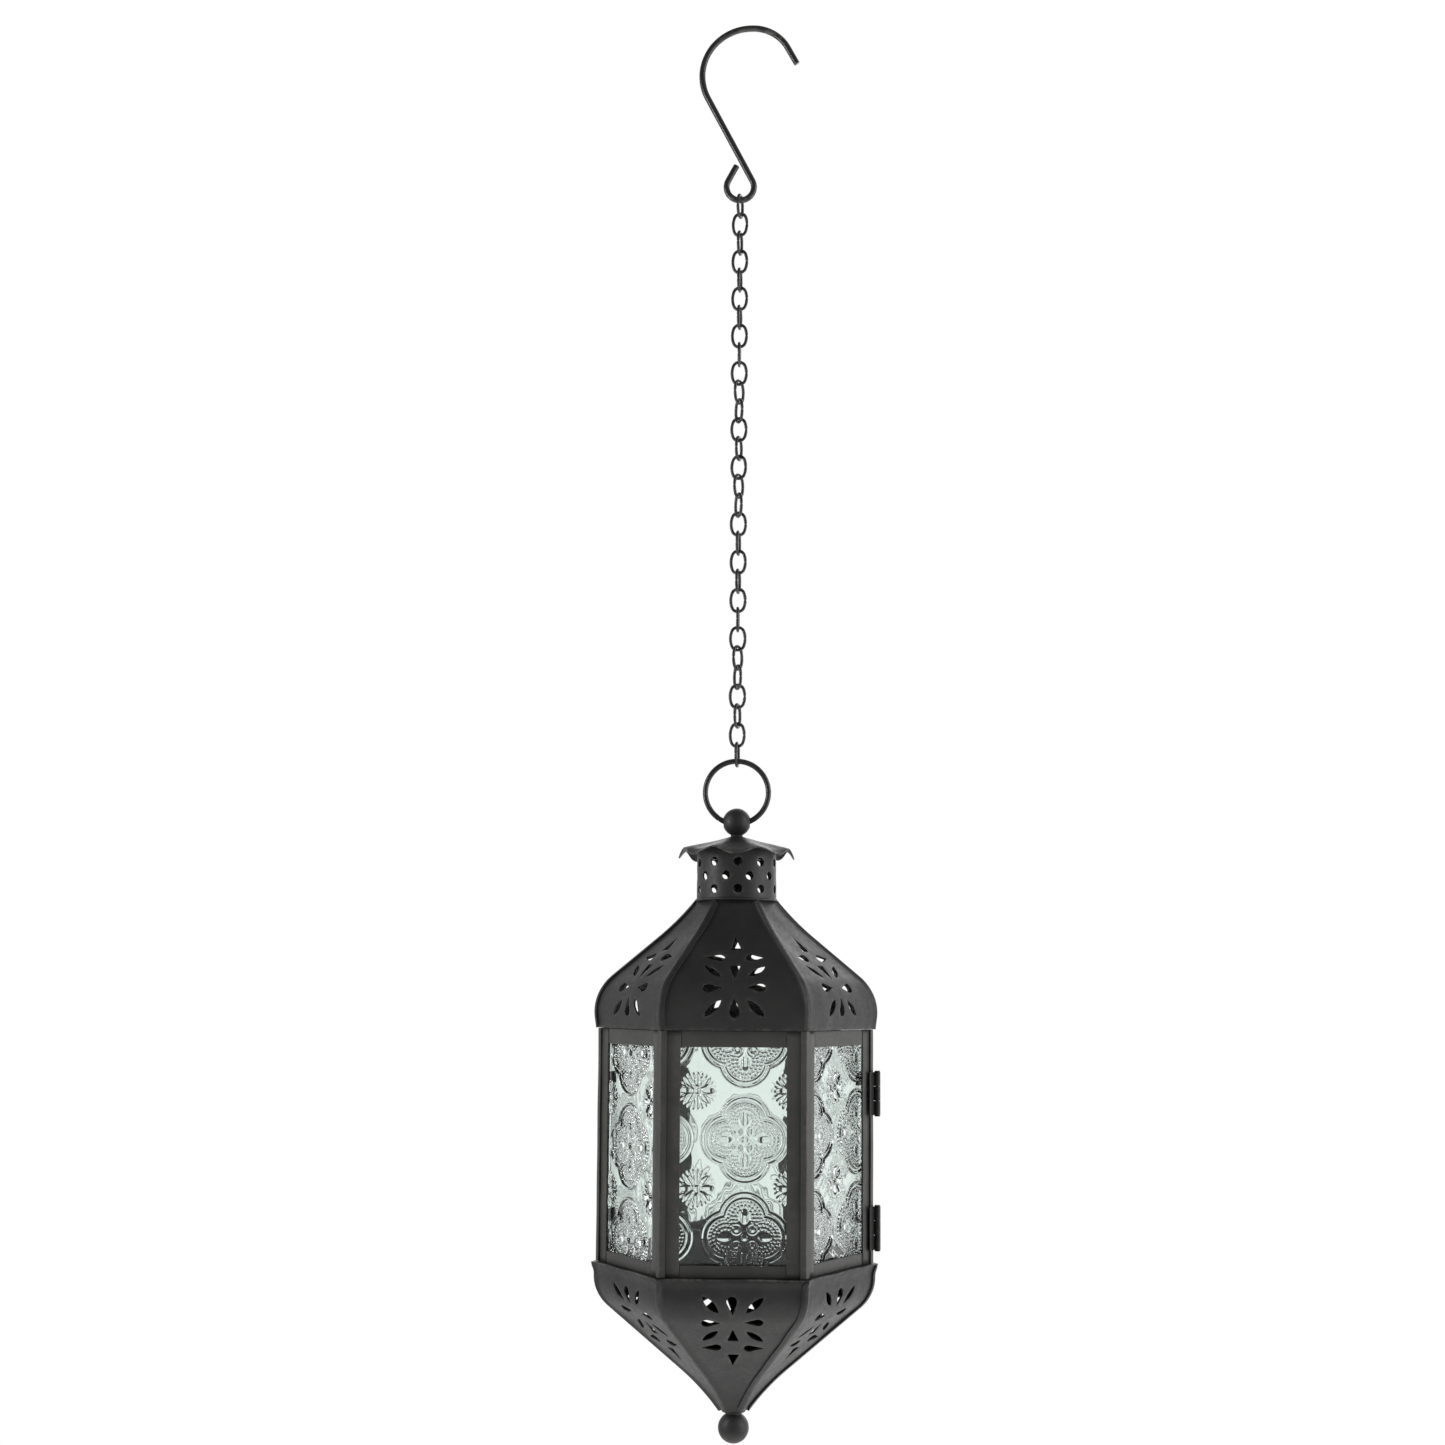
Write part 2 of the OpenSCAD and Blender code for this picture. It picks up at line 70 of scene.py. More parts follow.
GAP = 0.05
SHEET = 0.8
HALF = math.radians(30)
POSTS_LOW, POSTS_HIGH = box_mm("corner_posts")
FEET_Z = POSTS_LOW[2] - GAP
BODY_H = POSTS_HIGH[2] + GAP - FEET_Z
CORNER_R = POSTS_HIGH[0]
FACE_R = CORNER_R * math.cos(HALF)
DOOR = 30
SIDES = [DOOR + 60 * k for k in range(1, 6)]
ALL_FACES = [DOOR] + SIDES

# Hook, chain and ring
HOOK_WIRE = 2.7
BOW_R = 21.5
BOW_OFFSET = 4.8  # the bow's middle stands this far to the side of the axis
BOW_TO_LOOP = 49.8
LOOP_R = 5.9
LOOP_TURN = 236
TAIL_L = 7.3
TIP_L = 8
TIP_R = 17
TIP_TURN = 61
TOP_L = 0.6
LINK_WIRE = 1.35
LINK_W = 7.5
LINK_END_R = 2.7  # tighter than half a link's width, as the sides bow out
RING_WIRE = 2.3
BALL_R = 5.85
BALL_BORE = 2.0
FINIAL_R = 6.3
CUP_R = 20.3

# Ogee sheets: legs of [length, turn in degrees] from [distance from the axis, height, lean]
ROOF = [[4.3, 0], [18.5, 53], [23, 0], [20.3, -11.2]]
BOWL = [[5.4, 0], [13.1, 46], [36, 0], [21.65, -14]]
ROOF_START = [FACE_R + 0.24, 0, -7]
BOWL_START = [FACE_R + 0.05, 0, 0]
ROOF_MOTIF = np.array([0, 17.4])
BOWL_MOTIF = np.array([0, 18.5])
ROOF_BACK_MOTIF = np.array([-1.8, 19.9])  # the back sheets were punched out of line
BOWL_BACK_MOTIF = np.array([-4, 18.1])
BOWL_FLARE = 0.9
SHELF_R = 45.5
SHELF_T = 0.7
LIP_OUT = 1.4
FLAP_W = 1.9  # how far a panel laps over the next, and how far its lap stands off
FLAP_LIFT = 0.8

# Pierced flower and star
PETAL_IN = 4.2
PETAL_L = 7.9
PETAL_W = 4.2
LEAF_OFF = 8.6
LEAF_L = 9.3
LEAF_W = 3
STAR_S = 16.6

# How far each link is turned about the chain
LINK_TURN = [72, 164, 76, 168, 80, 170, 80, 172, 88, 178, 56, 116, 176, 70, 164,
             56, 114, 178, 80, 170, 78, 172, 88, 178, 56, 116, 176, 70, 164, 80]

# Chimney and cap
CAP_Z = 173.2
CAP_R = 25.2
CAP_T = 0.6
CAP_SLOPE = math.radians(16)
APEX_RISE = 1.5  # the cone stands this far up round the ball's neck
LOBES = 8
ROW_Z = [4.7, 10.1, 15.8]
HOLES_ROUND = 10
HOLE_R = 1.8
FIRST_HOLE = -87  # degrees; nearly at the front

# Posts, frames and glass
POST_T = 0.68
POST_FLANGE = 2.35
DOOR_Y = (-25.8, 25.6)
DOOR_GAP_Z = 0.9
FRAME_GAP_Z = 0.06
WAVER = 0.04  # how far posts and frames stray from straight
FRAME_T = 0.9
FRAME_R = FACE_R - SHEET - GAP
RAIL_T = 0.65
LIGHT_W = 41.5
RAIL_LOW = 4.8
RAIL_TOP = 6.4
GLASS_T = 2.6
GLASS_W = LIGHT_W + 4
GLASS_LAP = 2
GLASS_STEP = 0.23
PATTERN = 37.4  # the pressed pattern repeats at this distance both ways
LOBE_OFF = 0.189 * PATTERN
LOBE_R = 0.27 * PATTERN
RELIEF_ROOM = 1.05  # room for the relief in front of the pane's plain face
DOT_ROWS = (3.7, 5.2, 6.7)
DOT_PITCH = 1.45
# Where a quatrefoil's middle lies on each pane, across and above the feet
PANE_SHIFT = {270: (4.5, 52.9), 330: (18.7, 53.7), 210: (-3.5, 48),
              90: (-2.5, 49), 150: (9, 51), 30: (-6, 50)}

# Camera, in millimetres and degrees
LENS = 50
SHIFT_Y = 0.05
CAMERA_AWAY = 836.8
CAMERA_UP = 111.9
AZIMUTH = 0.8
PITCH = 5.479
AIM_LEFT = 0.414
ROLL = 0.36

# Lights and floor, in metres and watts: name, place, what it points at, size, power
MIDDLE = (0, 0, (FEET_Z + 60) * MM)
LIGHTS = (
    ("left_box", (-1.5, -0.5, -0.25), MIDDLE, (0.7, 1.6), 5),
    ("right_box", (1.5, -0.35, -0.15), MIDDLE, (0.7, 1.6), 13),
    ("back_box", (0.2, 1.6, 0.3), MIDDLE, (1.4, 1.0), 8),
    ("wire_strip", (-0.55, -0.2, -0.2), (0, 0, -0.15), (0.05, 0.5), 1.6),
    ("floor_light", (0, 0, -0.75), (0, 0, -2), (2.3, 2.3), 21),
)
FLAT_LIT = 1.22  # brightness of the flats seen through the glass, and of the gaps between them
FLAT_GAP = 0.42
FLOOR_Z = -1.35
FLOOR_R = 1.15


# ---- Materials ----

def node_tree(name):
    """A new material and short ways to add nodes and links to it."""
    material = bpy.data.materials.new(name)
    material.use_nodes = True
    tree = material.node_tree
    tree.nodes.clear()

    def add(kind, **inputs):
        node = tree.nodes.new(kind)
        for key, value in inputs.items():
            node.inputs[key.replace("_", " ")].default_value = value
        return node

    def link(a, output, b, target):
        tree.links.new(a.outputs[output], b.inputs[target])

    return material, add, link


def ramp(add, low, high, dark, light):
    """A colour ramp between two stops."""
    node = add("ShaderNodeValToRGB")
    node.color_ramp.elements[0].position = low
    node.color_ramp.elements[1].position = high
    node.color_ramp.elements[0].color = (*dark, 1)
    node.color_ramp.elements[1].color = (*light, 1)
    return node


RUBBED_AND_HIGHLIGHT = (0.075, 0.07, 0.064)  # the metal where the paint has worn through, also painted on as a highlight along some edges and ridges


def noises(add, link, *kinds):
    """Noise textures of [scale, detail, roughness], laid in the object's own space."""
    place = add("ShaderNodeTexCoord")
    made = [add("ShaderNodeTexNoise", Scale=scale, Detail=detail, Roughness=rough)
            for scale, detail, rough in kinds]
    for noise in made:
        link(place, "Object", noise, "Vector")
    return made


def painted(name, dark, light, rough, peel=0.03):
    """Black paint on metal: mottled colour, orange peel, and a lighter metal colour where the mesh's wear
    attribute asks: rubbed edges on most pieces, painted highlights along some edges and ridges.
    """
    material, add, link = node_tree(name)
    shader = add("ShaderNodeBsdfPrincipled", IOR=1.6 if rough < 0.35 else 1.45)
    output = add("ShaderNodeOutputMaterial")
    cloud, speck, chip_noise, grain, dimple = noises(
        add, link, (55, 5, 0.6), (620, 3, 0.65), (260, 4, 0.7), (1500, 2, 0.5), (150, 3, 0.55))
    tone = ramp(add, 0.35, 0.68, dark, light)
    rough_map = add("ShaderNodeMapRange", From_Min=0.3, From_Max=0.7,
                    To_Min=rough - 0.07, To_Max=rough + 0.09)
    edge = add("ShaderNodeAttribute")
    edge.attribute_name = "wear_and_highlight"
    chips = ramp(add, 0.47, 0.6, (0, 0, 0), (1, 1, 1))
    wear_and_highlight_mask = add("ShaderNodeMath")
    wear_and_highlight_mask.operation = "MULTIPLY"
    blend = add("ShaderNodeMix")
    blend.data_type = "RGBA"
    fine = add("ShaderNodeBump", Strength=0.35, Distance=peel * MM)
    broad = add("ShaderNodeBump", Strength=0.3, Distance=4 * peel * MM)
    link(cloud, "Fac", tone, "Fac")
    link(speck, "Fac", rough_map, "Value")
    link(chip_noise, "Fac", chips, "Fac")
    link(edge, "Fac", wear_and_highlight_mask, 0)
    link(chips, "Color", wear_and_highlight_mask, 1)
    link(wear_and_highlight_mask, 0, blend, "Factor")
    link(tone, "Color", blend, 6)
    blend.inputs[7].default_value = (*RUBBED_AND_HIGHLIGHT, 1)
    link(blend, 2, shader, "Base Color")
    link(rough_map, "Result", shader, "Roughness")
    link(dimple, "Fac", broad, "Height")
    link(grain, "Fac", fine, "Height")
    link(broad, "Normal", fine, "Normal")
    link(fine, "Normal", shader, "Normal")
    link(shader, "BSDF", output, "Surface")
    return material


def pressed_glass():
    """Clear soda glass with a pale green cast, slightly uneven as pressed glass is."""
    material, add, link = node_tree("pressed_glass")
    shader = add("ShaderNodeBsdfPrincipled", IOR=1.5, Transmission_Weight=1.0)
    output = add("ShaderNodeOutputMaterial")
    cloud, smear, wave = noises(add, link, (35, 3, 0.5), (220, 3, 0.6), (90, 2, 0.5))
    tint = ramp(add, 0.3, 0.7, (0.885, 0.948, 0.92), (0.915, 0.965, 0.943))
    rough_map = add("ShaderNodeMapRange", From_Min=0.35, From_Max=0.7, To_Min=0.005, To_Max=0.05)
    bump = add("ShaderNodeBump", Strength=0.25, Distance=0.12 * MM)
    link(cloud, "Fac", tint, "Fac")
    link(tint, "Color", shader, "Base Color")
    link(smear, "Fac", rough_map, "Value")
    link(rough_map, "Result", shader, "Roughness")
    link(wave, "Fac", bump, "Height")
    link(bump, "Normal", shader, "Normal")
    link(shader, "BSDF", output, "Surface")
    return material


def floor_paper():
    """Pale paper with a faint cloudiness."""
    material, add, link = node_tree("floor_paper")
    shader = add("ShaderNodeBsdfPrincipled", Roughness=0.8)
    output = add("ShaderNodeOutputMaterial")
    (cloud,) = noises(add, link, (3, 3, 0.5))
    tone = ramp(add, 0.2, 0.8, (0.86, 0.86, 0.85), (0.9, 0.9, 0.89))
    link(cloud, "Fac", tone, "Fac")
    link(tone, "Color", shader, "Base Color")
    link(shader, "BSDF", output, "Surface")
    return material


MATERIALS = {
    "black_sheet": painted("black_sheet", (0.014, 0.0141, 0.014), (0.025, 0.0248, 0.0243), 0.5),
    "black_frame": painted("black_frame", (0.04, 0.0395, 0.038), (0.055, 0.054, 0.052), 0.46),
    "black_wire": painted("black_wire", (0.006, 0.006, 0.0065), (0.012, 0.012, 0.0125), 0.3, peel=0.015),
    "black_hardware": painted("black_hardware", (0.009, 0.009, 0.009), (0.018, 0.018, 0.0175), 0.42),
    "black_inside": painted("black_inside", (0.012, 0.0115, 0.011), (0.022, 0.021, 0.02), 0.6),
    "pressed_glass": pressed_glass(),
}


# ---- Making pieces ----

def new_piece(name, node, mesh):
    """A piece that stands for a CAD node, with the node's body, slot and material."""
    obj = bpy.data.objects.new(name, mesh)
    bpy.context.scene.collection.objects.link(obj)
    slot = SLOT_OF[node]
    mesh.materials.clear()
    mesh.materials.append(MATERIALS[slot])
    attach(obj, BODY_OF[node])
    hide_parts(node)
    return obj


def to_mesh(name, points, faces, wear_and_highlight=None):
    """A smooth-shaded mesh from points in millimetres."""
    mesh = bpy.data.meshes.new(name)
    faces = faces.tolist() if isinstance(faces, np.ndarray) else faces
    mesh.from_pydata((np.asarray(points) * MM).tolist(), [], faces)
    mesh.polygons.foreach_set("use_smooth", [True] * len(mesh.polygons))
    if wear_and_highlight is not None:
        mesh.attributes.new("wear_and_highlight", "FLOAT", "POINT").data.foreach_set("value", np.asarray(wear_and_highlight, np.float32))
    mesh.update()
    return mesh


def drawn(name, node, points, faces, wear_and_highlight=None):
    """A piece made of points in millimetres."""
    return new_piece(name, node, to_mesh(name, points, faces, wear_and_highlight))


def join(parts):
    """Points and faces of several parts as one list each."""
    points, faces, count = [], [], 0
    for part_points, part_faces in parts:
        points.append(np.asarray(part_points, float))
        faces += [[i + count for i in face] for face in part_faces]
        count += len(part_points)
    return np.concatenate(points), faces


def soften(obj, width, angle=35, segments=2):
    """Rounds the piece's edges."""
    bevel = obj.modifiers.new("soft edges", "BEVEL")
    bevel.width = width * MM
    bevel.segments = segments
    bevel.limit_method = "ANGLE"
    bevel.angle_limit = math.radians(angle)
    bevel.harden_normals = True
    return obj


def thicken(obj, thickness):
    """Gives a sheet its thickness on the side that its faces turn away from."""
    solid = obj.modifiers.new("thickness", "SOLIDIFY")
    solid.thickness = thickness * MM
    solid.offset = -1
    solid.use_even_offset = True
    return obj


def turned(points, angle, z=0.0):
    """Points drawn on the +X side, turned to face an angle and lifted."""
    c, s = math.cos(math.radians(angle)), math.sin(math.radians(angle))
    points = np.asarray(points, float)
    x, y = points[:, 0] * c - points[:, 1] * s, points[:, 0] * s + points[:, 1] * c
    return np.stack([x, y, points[:, 2] + z], 1)


def around(count):
    """Angles in radians that divide a full turn evenly."""
    return np.arange(count) * 2 * math.pi / count


def quads(rings, sides, closed=False, over=False):
    """Faces between neighbouring rings of points, turned over if asked."""
    faces = []
    for i in range(rings if closed else rings - 1):
        a, b = i * sides, (i + 1) % rings * sides
        for j in range(sides):
            k = (j + 1) % sides
            faces.append([a + j, a + k, b + k, b + j] if over else [a + j, b + j, b + k, a + k])
    return faces


def prism_faces(rings, sides):
    """Faces of a solid drawn out through rings of points, with its two ends."""
    return quads(rings, sides, over=True) + [
        list(range(sides))[::-1], [(rings - 1) * sides + j for j in range(sides)]]


def ripple(points, size, seed):
    """A smooth uneven field about one high, the same on each run."""
    points = np.asarray(points, float)
    rng = np.random.default_rng(seed)
    waves = 7
    field = np.zeros(len(points))
    for _ in range(waves):
        direction = rng.normal(size=points.shape[1])
        direction /= np.linalg.norm(direction)
        length = size * rng.uniform(0.7, 1.8)
        field += np.sin(points @ direction * 2 * math.pi / length + rng.uniform(0, 2 * math.pi))
    return field / math.sqrt(waves)


def smooth(t):
    """An S-curve from 0 to 1."""
    t = np.clip(t, 0, 1)
    return t * t * (3 - 2 * t)


def copied(node, width):
    """A piece with a CAD node's own shape and softened edges."""
    mesh = frame["nodes"][node].data.copy()
    mesh.name = node + "_soft"
    if "custom_normal" in mesh.attributes:
        mesh.attributes.remove(mesh.attributes["custom_normal"])
    made = bmesh.new()
    made.from_mesh(mesh)
    bmesh.ops.remove_doubles(made, verts=made.verts, dist=1e-6)
    bmesh.ops.dissolve_limit(made, angle_limit=math.radians(1), verts=made.verts, edges=made.edges)
    made.to_mesh(mesh)
    made.free()
    mesh.polygons.foreach_set("use_smooth", [True] * len(mesh.polygons))
    return soften(new_piece(node + "_soft", node, mesh), width)


# ---- Wires ----

def wire_path(legs, start, heading, step):
    """Points along straight legs of [length, 0] and arcs of [radius, turn], in a plane."""
    x, y = start
    points = [(x, y)]
    for size, turn in legs:
        length = size if turn == 0 else size * abs(math.radians(turn))
        count = max(2, round(length / step))
        for _ in range(count):
            heading += math.radians(turn) / count / 2
            x += length / count * math.cos(heading)
            y += length / count * math.sin(heading)
            heading += math.radians(turn) / count / 2
            points.append((x, y))
    return np.array(points)


def tube(path, normal, radius, sides, closed):
    """A round wire swept along a path that lies in the plane with that normal. Open ends are cut square."""
    path = np.asarray(path, float)
    radius = np.broadcast_to(np.asarray(radius, float), len(path)).copy()
    if closed:
        along = np.roll(path, -1, 0) - np.roll(path, 1, 0)
    else:
        first, last = path[1] - path[0], path[-1] - path[-2]
        first, last = first / np.linalg.norm(first), last / np.linalg.norm(last)
        head = [path[0] - first * beyond for beyond in (0.3, 0.12)]
        tail = [path[-1] + last * beyond for beyond in (0.12, 0.3)]
        cut = np.array([0.87, 1.0])
        radius = np.concatenate([radius[0] * cut, radius, radius[-1] * cut[::-1]])
        path = np.concatenate([head, path, tail])
        along = np.gradient(path, axis=0)
    along /= np.linalg.norm(along, axis=1)[:, None]
    normal = np.asarray(normal, float)
    side = np.cross(along, normal)
    angles = around(sides)
    ring = np.cos(angles)[None, :, None] * side[:, None] + np.sin(angles)[None, :, None] * normal
    points = (path[:, None] + radius[:, None, None] * ring).reshape(-1, 3)
    faces = quads(len(path), sides, closed)
    if not closed:
        faces += [list(range(sides)), [(len(path) - 1) * sides + j for j in reversed(range(sides))]]
    return points, faces


def s_hook():
    """The bent wire, thinned a little unevenly and rubbed where it hangs and carries."""
    bow_z = -math.sqrt((BOW_R - HOOK_WIRE / 2) ** 2 - BOW_OFFSET**2)
    centres = math.hypot(BOW_OFFSET, BOW_TO_LOOP)
    shank_l = math.sqrt(centres**2 - (BOW_R + LOOP_R) ** 2)
    shank_heading = 180 + math.degrees(
        math.atan2(BOW_TO_LOOP, BOW_OFFSET) + math.asin((BOW_R + LOOP_R) / centres))
    tip = math.radians(TIP_TURN)
    start = (BOW_OFFSET + TOP_L + TIP_R * math.sin(tip) + TIP_L * math.cos(tip),
             bow_z + BOW_R - TIP_R * (1 - math.cos(tip)) - TIP_L * math.sin(tip))
    legs = [[TIP_L, 0], [TIP_R, TIP_TURN], [TOP_L, 0], [BOW_R, shank_heading - 180],
            [shank_l, 0], [LOOP_R, -LOOP_TURN], [TAIL_L, 0]]
    flat = wire_path(legs, start, math.pi - tip, 0.9)
    path = np.stack([flat[:, 0], np.zeros(len(flat)), flat[:, 1]], 1)
    radius = HOOK_WIRE / 2 * (1 + 0.012 * ripple(path, 14, 3))
    points, faces = tube(path, (0, 1, 0), radius, 20, False)
    rubbed = np.exp(-((points[:, 2] + 1.3) / 2.5) ** 2)
    rubbed += np.exp(-((points[:, 2] - path[:, 2].min()) / 1.6) ** 2)
    drawn("hook_wire", "s_hook", points, faces, rubbed.clip(0, 1))


def chain_link(i):
    """An oval link with bowed sides, its butt seam in the middle of one side."""
    name = f"link_{i:02d}"
    low, high = box_mm(name)
    half_l, half_w = (high[2] - low[2] - LINK_WIRE) / 2, (LINK_W - LINK_WIRE) / 2
    side_r = (half_l**2 + half_w**2 - 2 * half_l * LINK_END_R) / (2 * (half_w - LINK_END_R))
    spread = math.degrees(math.asin((half_l - LINK_END_R) / (side_r - LINK_END_R)))
    end = [LINK_END_R, 180 - 2 * spread]
    legs = [[side_r, spread], end, [side_r, 2 * spread], end, [side_r, spread]]
    flat = wire_path(legs, (0, -half_w), 0, 0.5)[:-1]
    turn = math.radians(LINK_TURN[i - 1])
    across = np.array([math.cos(turn), math.sin(turn), 0])
    height = (low[2] + high[2]) / 2
    path = flat[:, 1:] * across
    path[:, 2] = height - flat[:, 0]
    seam = np.exp(-(np.hypot(flat[:, 0], flat[:, 1] + half_w) / 0.22) ** 2)
    radius = LINK_WIRE / 2 * (1 - 0.03 * ripple(path, 5, i) ** 2 - 0.28 * seam)
    normal = np.cross(across, (0, 0, 1))
    points, faces = tube(path, normal, radius, 16, True)
    rubbed = smooth((np.abs(points[:, 2] - height) - 3.6) / 1.2)
    drawn(name + "_wire", name, points, faces, rubbed)


def hanging_ring():
    """The round ring with its seam at the lower left, rubbed where the chain hangs in it."""
    low, high = box_mm("hanging_ring")
    radius = (high[0] - low[0] - RING_WIRE) / 2
    middle = (low[2] + high[2]) / 2
    turn = around(120)
    path = np.stack([radius * np.cos(turn), 0 * turn, middle + radius * np.sin(turn)], 1)
    seam = np.exp(-((turn - 4.15) / 0.02) ** 2)
    wire = RING_WIRE / 2 * (1 + 0.008 * ripple(path, 9, 8) - 0.2 * seam)
    points, faces = tube(path, (0, 1, 0), wire, 20, True)
    rubbed = np.exp(-((points[:, 2] - high[2]) / 1.6) ** 2)
    drawn("ring_wire", "hanging_ring", points, faces, rubbed)


# ---- Turned pieces ----

def lathe(profile, sides, axis="z"):
    """A profile of [radius, height] turned about an axis. A radius of 0 closes an end."""
    profile = np.asarray(profile, float)
    angles = around(sides)
    x = profile[:, 0, None] * np.cos(angles)
    y = profile[:, 0, None] * np.sin(angles)
    z = np.repeat(profile[:, 1, None], sides, 1)
    stack = (x, y, z) if axis == "z" else (z, x, y)
    return np.stack(stack, -1).reshape(-1, 3), quads(len(profile), sides, over=True)


def arc_points(centre, radius, start, end, count):
    """Points on an arc, angles in degrees."""
    angles = np.radians(np.linspace(start, end, count))
    return [[centre[0] + radius * math.cos(a), centre[1] + radius * math.sin(a)] for a in angles]


def hanger_ball():
    """A ball with a smooth cross bore for the ring, on a short neck that stands in the cap."""
    low, high = box_mm("hanger_ball")
    middle = high[2] - BALL_R
    lip = 0.5
    bore_end = math.sqrt(BALL_R**2 - BALL_BORE**2) - lip
    mouth = math.degrees(math.atan2(BALL_BORE + lip, math.sqrt(BALL_R**2 - (BALL_BORE + lip) ** 2)))
    outside = [[BALL_R * math.sin(a), BALL_R * math.cos(a)]
               for a in np.radians(np.linspace(mouth, 180 - mouth, 44))]
    rim = arc_points((BALL_BORE + lip, bore_end), lip, 180, 110, 5)
    profile = rim + outside + [[r, -z] for r, z in reversed(rim)]
    profile += [[BALL_BORE, z] for z in np.linspace(-bore_end, bore_end, 9)[1:]]
    ball = lathe(profile, 72, "x")
    ball = ball[0] + [0, 0, middle], ball[1]
    foot = low[2] - 0.2
    neck = [[0, middle - 3.9], [2.4, middle - 4.0], [2.6, middle - 5.2], [2.5, foot + 1.6],
            [2.5, foot + 0.7], [2.4, foot + 0.25], [2.3, foot], [0, foot - 0.1]]
    points, faces = join([ball, lathe(neck[::-1], 48)])
    rubbed = np.exp(-((np.hypot(points[:, 1], points[:, 2] - middle) - BALL_BORE) / 0.5) ** 2)
    drawn("ball_turned", "hanger_ball", points, faces, rubbed)


def finial_ball():
    """The ball at the bottom, with a thin collar under the bowl's tip."""
    low, high = box_mm("finial_ball")
    middle, top = low[2] + FINIAL_R, high[2]
    profile = [[FINIAL_R * math.sin(a), middle - FINIAL_R * math.cos(a)]
               for a in np.radians(np.linspace(1, 152, 40))]
    profile += [[3.1, middle + 5.75], [3.1, top - 1.1]]
    profile += arc_points((4.45, top - 0.45), 0.42, -90, 90, 7) + [[1.6, top - 0.02], [0.1, top - 0.02]]
    points, faces = lathe([[0.1, low[2]]] + profile, 72)
    drawn("finial_turned", "finial_ball", points, faces)


def candle_cup():
    """A shallow drawn cup with a rolled rim."""
    low, high = box_mm("candle_cup")
    wall, roll = 0.55, 0.75
    base, rim = low[2], high[2]
    outer = CUP_R + wall
    profile = [[0.1, base], [outer - 1.6, base]]
    profile += arc_points((outer - 1.6, base + 1.6), 1.6, -80, 0, 7)
    profile += [[outer, z] for z in np.linspace(base + 2.5, rim - 1.6, 10)]
    profile += arc_points((outer - 0.05, rim - roll), roll, -60, 200, 14)
    profile += [[CUP_R, z] for z in np.linspace(rim - 1.8, base + 2, 10)]
    profile += arc_points((CUP_R - 1.3, base + wall + 1.3), 1.3, 0, -90, 6) + [[0.1, base + wall]]
    points, faces = lathe(profile, 120)
    rubbed = smooth((points[:, 2] - rim + 1.2) / 1.0) * 0.8
    drawn("cup_drawn", "candle_cup", points, faces, rubbed)


# ---- Punched sheet ----

def inside(points, loops):
    """Which points lie in an odd number of the loops."""
    odd = np.zeros(len(points), bool)
    for loop in loops:
        for a, b in zip(loop, np.roll(loop, -1, 0)):
            spans = (a[1] > points[:, 1]) != (b[1] > points[:, 1])
            slope = (b[0] - a[0]) / (b[1] - a[1]) if b[1] != a[1] else 0
            odd ^= spans & (points[:, 0] < a[0] + slope * (points[:, 1] - a[1]))
    return odd


def to_rim(points, loops):
    """Each point's distance from the nearest edge of the sheet."""
    rim = np.concatenate(loops)
    return np.sqrt(((points[:, None] - rim[None]) ** 2).sum(-1).min(1))


def resampled(loop, step):
    """A closed outline with points an even step apart, corners kept."""
    points = []
    for a, b in zip(loop, np.roll(loop, -1, 0)):
        count = max(1, round(np.linalg.norm(b - a) / step))
        points += [a + (b - a) * k / count for k in range(count)]
    return np.array(points)


def punched_sheet(outline, holes, spacing, guide=np.empty((0, 2))):
    """Points, triangles and rim distances that fill an outline, follow a guide and leave its holes open."""
    loops = [outline] + holes
    low, high = outline.min(0), outline.max(0)
    rows = np.arange(low[1] + spacing / 2, high[1], spacing * math.sqrt(0.75))
    grid = [(x + (k % 2) * spacing / 2, y) for k, y in enumerate(rows)
            for x in np.arange(low[0] + spacing / 2, high[0], spacing)]
    grid = np.array(grid)
    grid = grid[inside(grid, loops)]
    grid = grid[to_rim(grid, loops + [guide]) > 0.6 * spacing]
    guide = guide[inside(guide, loops)]
    grid = np.concatenate([grid, guide[to_rim(guide, loops) > 0.25 * spacing]])
    edges, count = [], 0
    for loop in loops:
        edges += [(count + k, count + (k + 1) % len(loop)) for k in range(len(loop))]
        count += len(loop)
    corners = [Vector(p) for p in np.concatenate(loops + [grid])]
    made = geometry.delaunay_2d_cdt(corners, edges, [], 0, 1e-6)
    points = np.array([tuple(p) for p in made[0]])
    triangles = np.array([face for face in made[2] if len(face) == 3])
    triangles = triangles[inside(points[triangles].mean(1), loops)]
    return points, triangles, to_rim(points, loops)


def petal_shape():
    """A drop with its point at the origin and its round end up."""
    r = PETAL_W / 2
    c = PETAL_L - r
    b = math.degrees(math.asin(r / c))
    return np.array([[0, 0]] + arc_points((0, c), r, -b, 180 + b, 17))


def wedge_shape():
    """A triangle with its point at the origin and its flat end up."""
    half_w = PETAL_W / 2 + 0.2
    corner = 0.5
    return np.array([[0, 0], [half_w - 0.1, PETAL_L - corner], [half_w - 0.35, PETAL_L],
                     [-half_w + 0.35, PETAL_L], [-half_w + 0.1, PETAL_L - corner]])


def leaf_shape():
    """A pointed leaf centred on the origin."""
    r = ((LEAF_L / 2) ** 2 + (LEAF_W / 2) ** 2) / LEAF_W
    b = math.degrees(math.asin(LEAF_L / 2 / r))
    right = arc_points((LEAF_W / 2 - r, 0), r, -b, b, 15)
    left = arc_points((r - LEAF_W / 2, 0), r, 180 - b, 180 + b, 15)
    return np.array(right + left[1:-1])


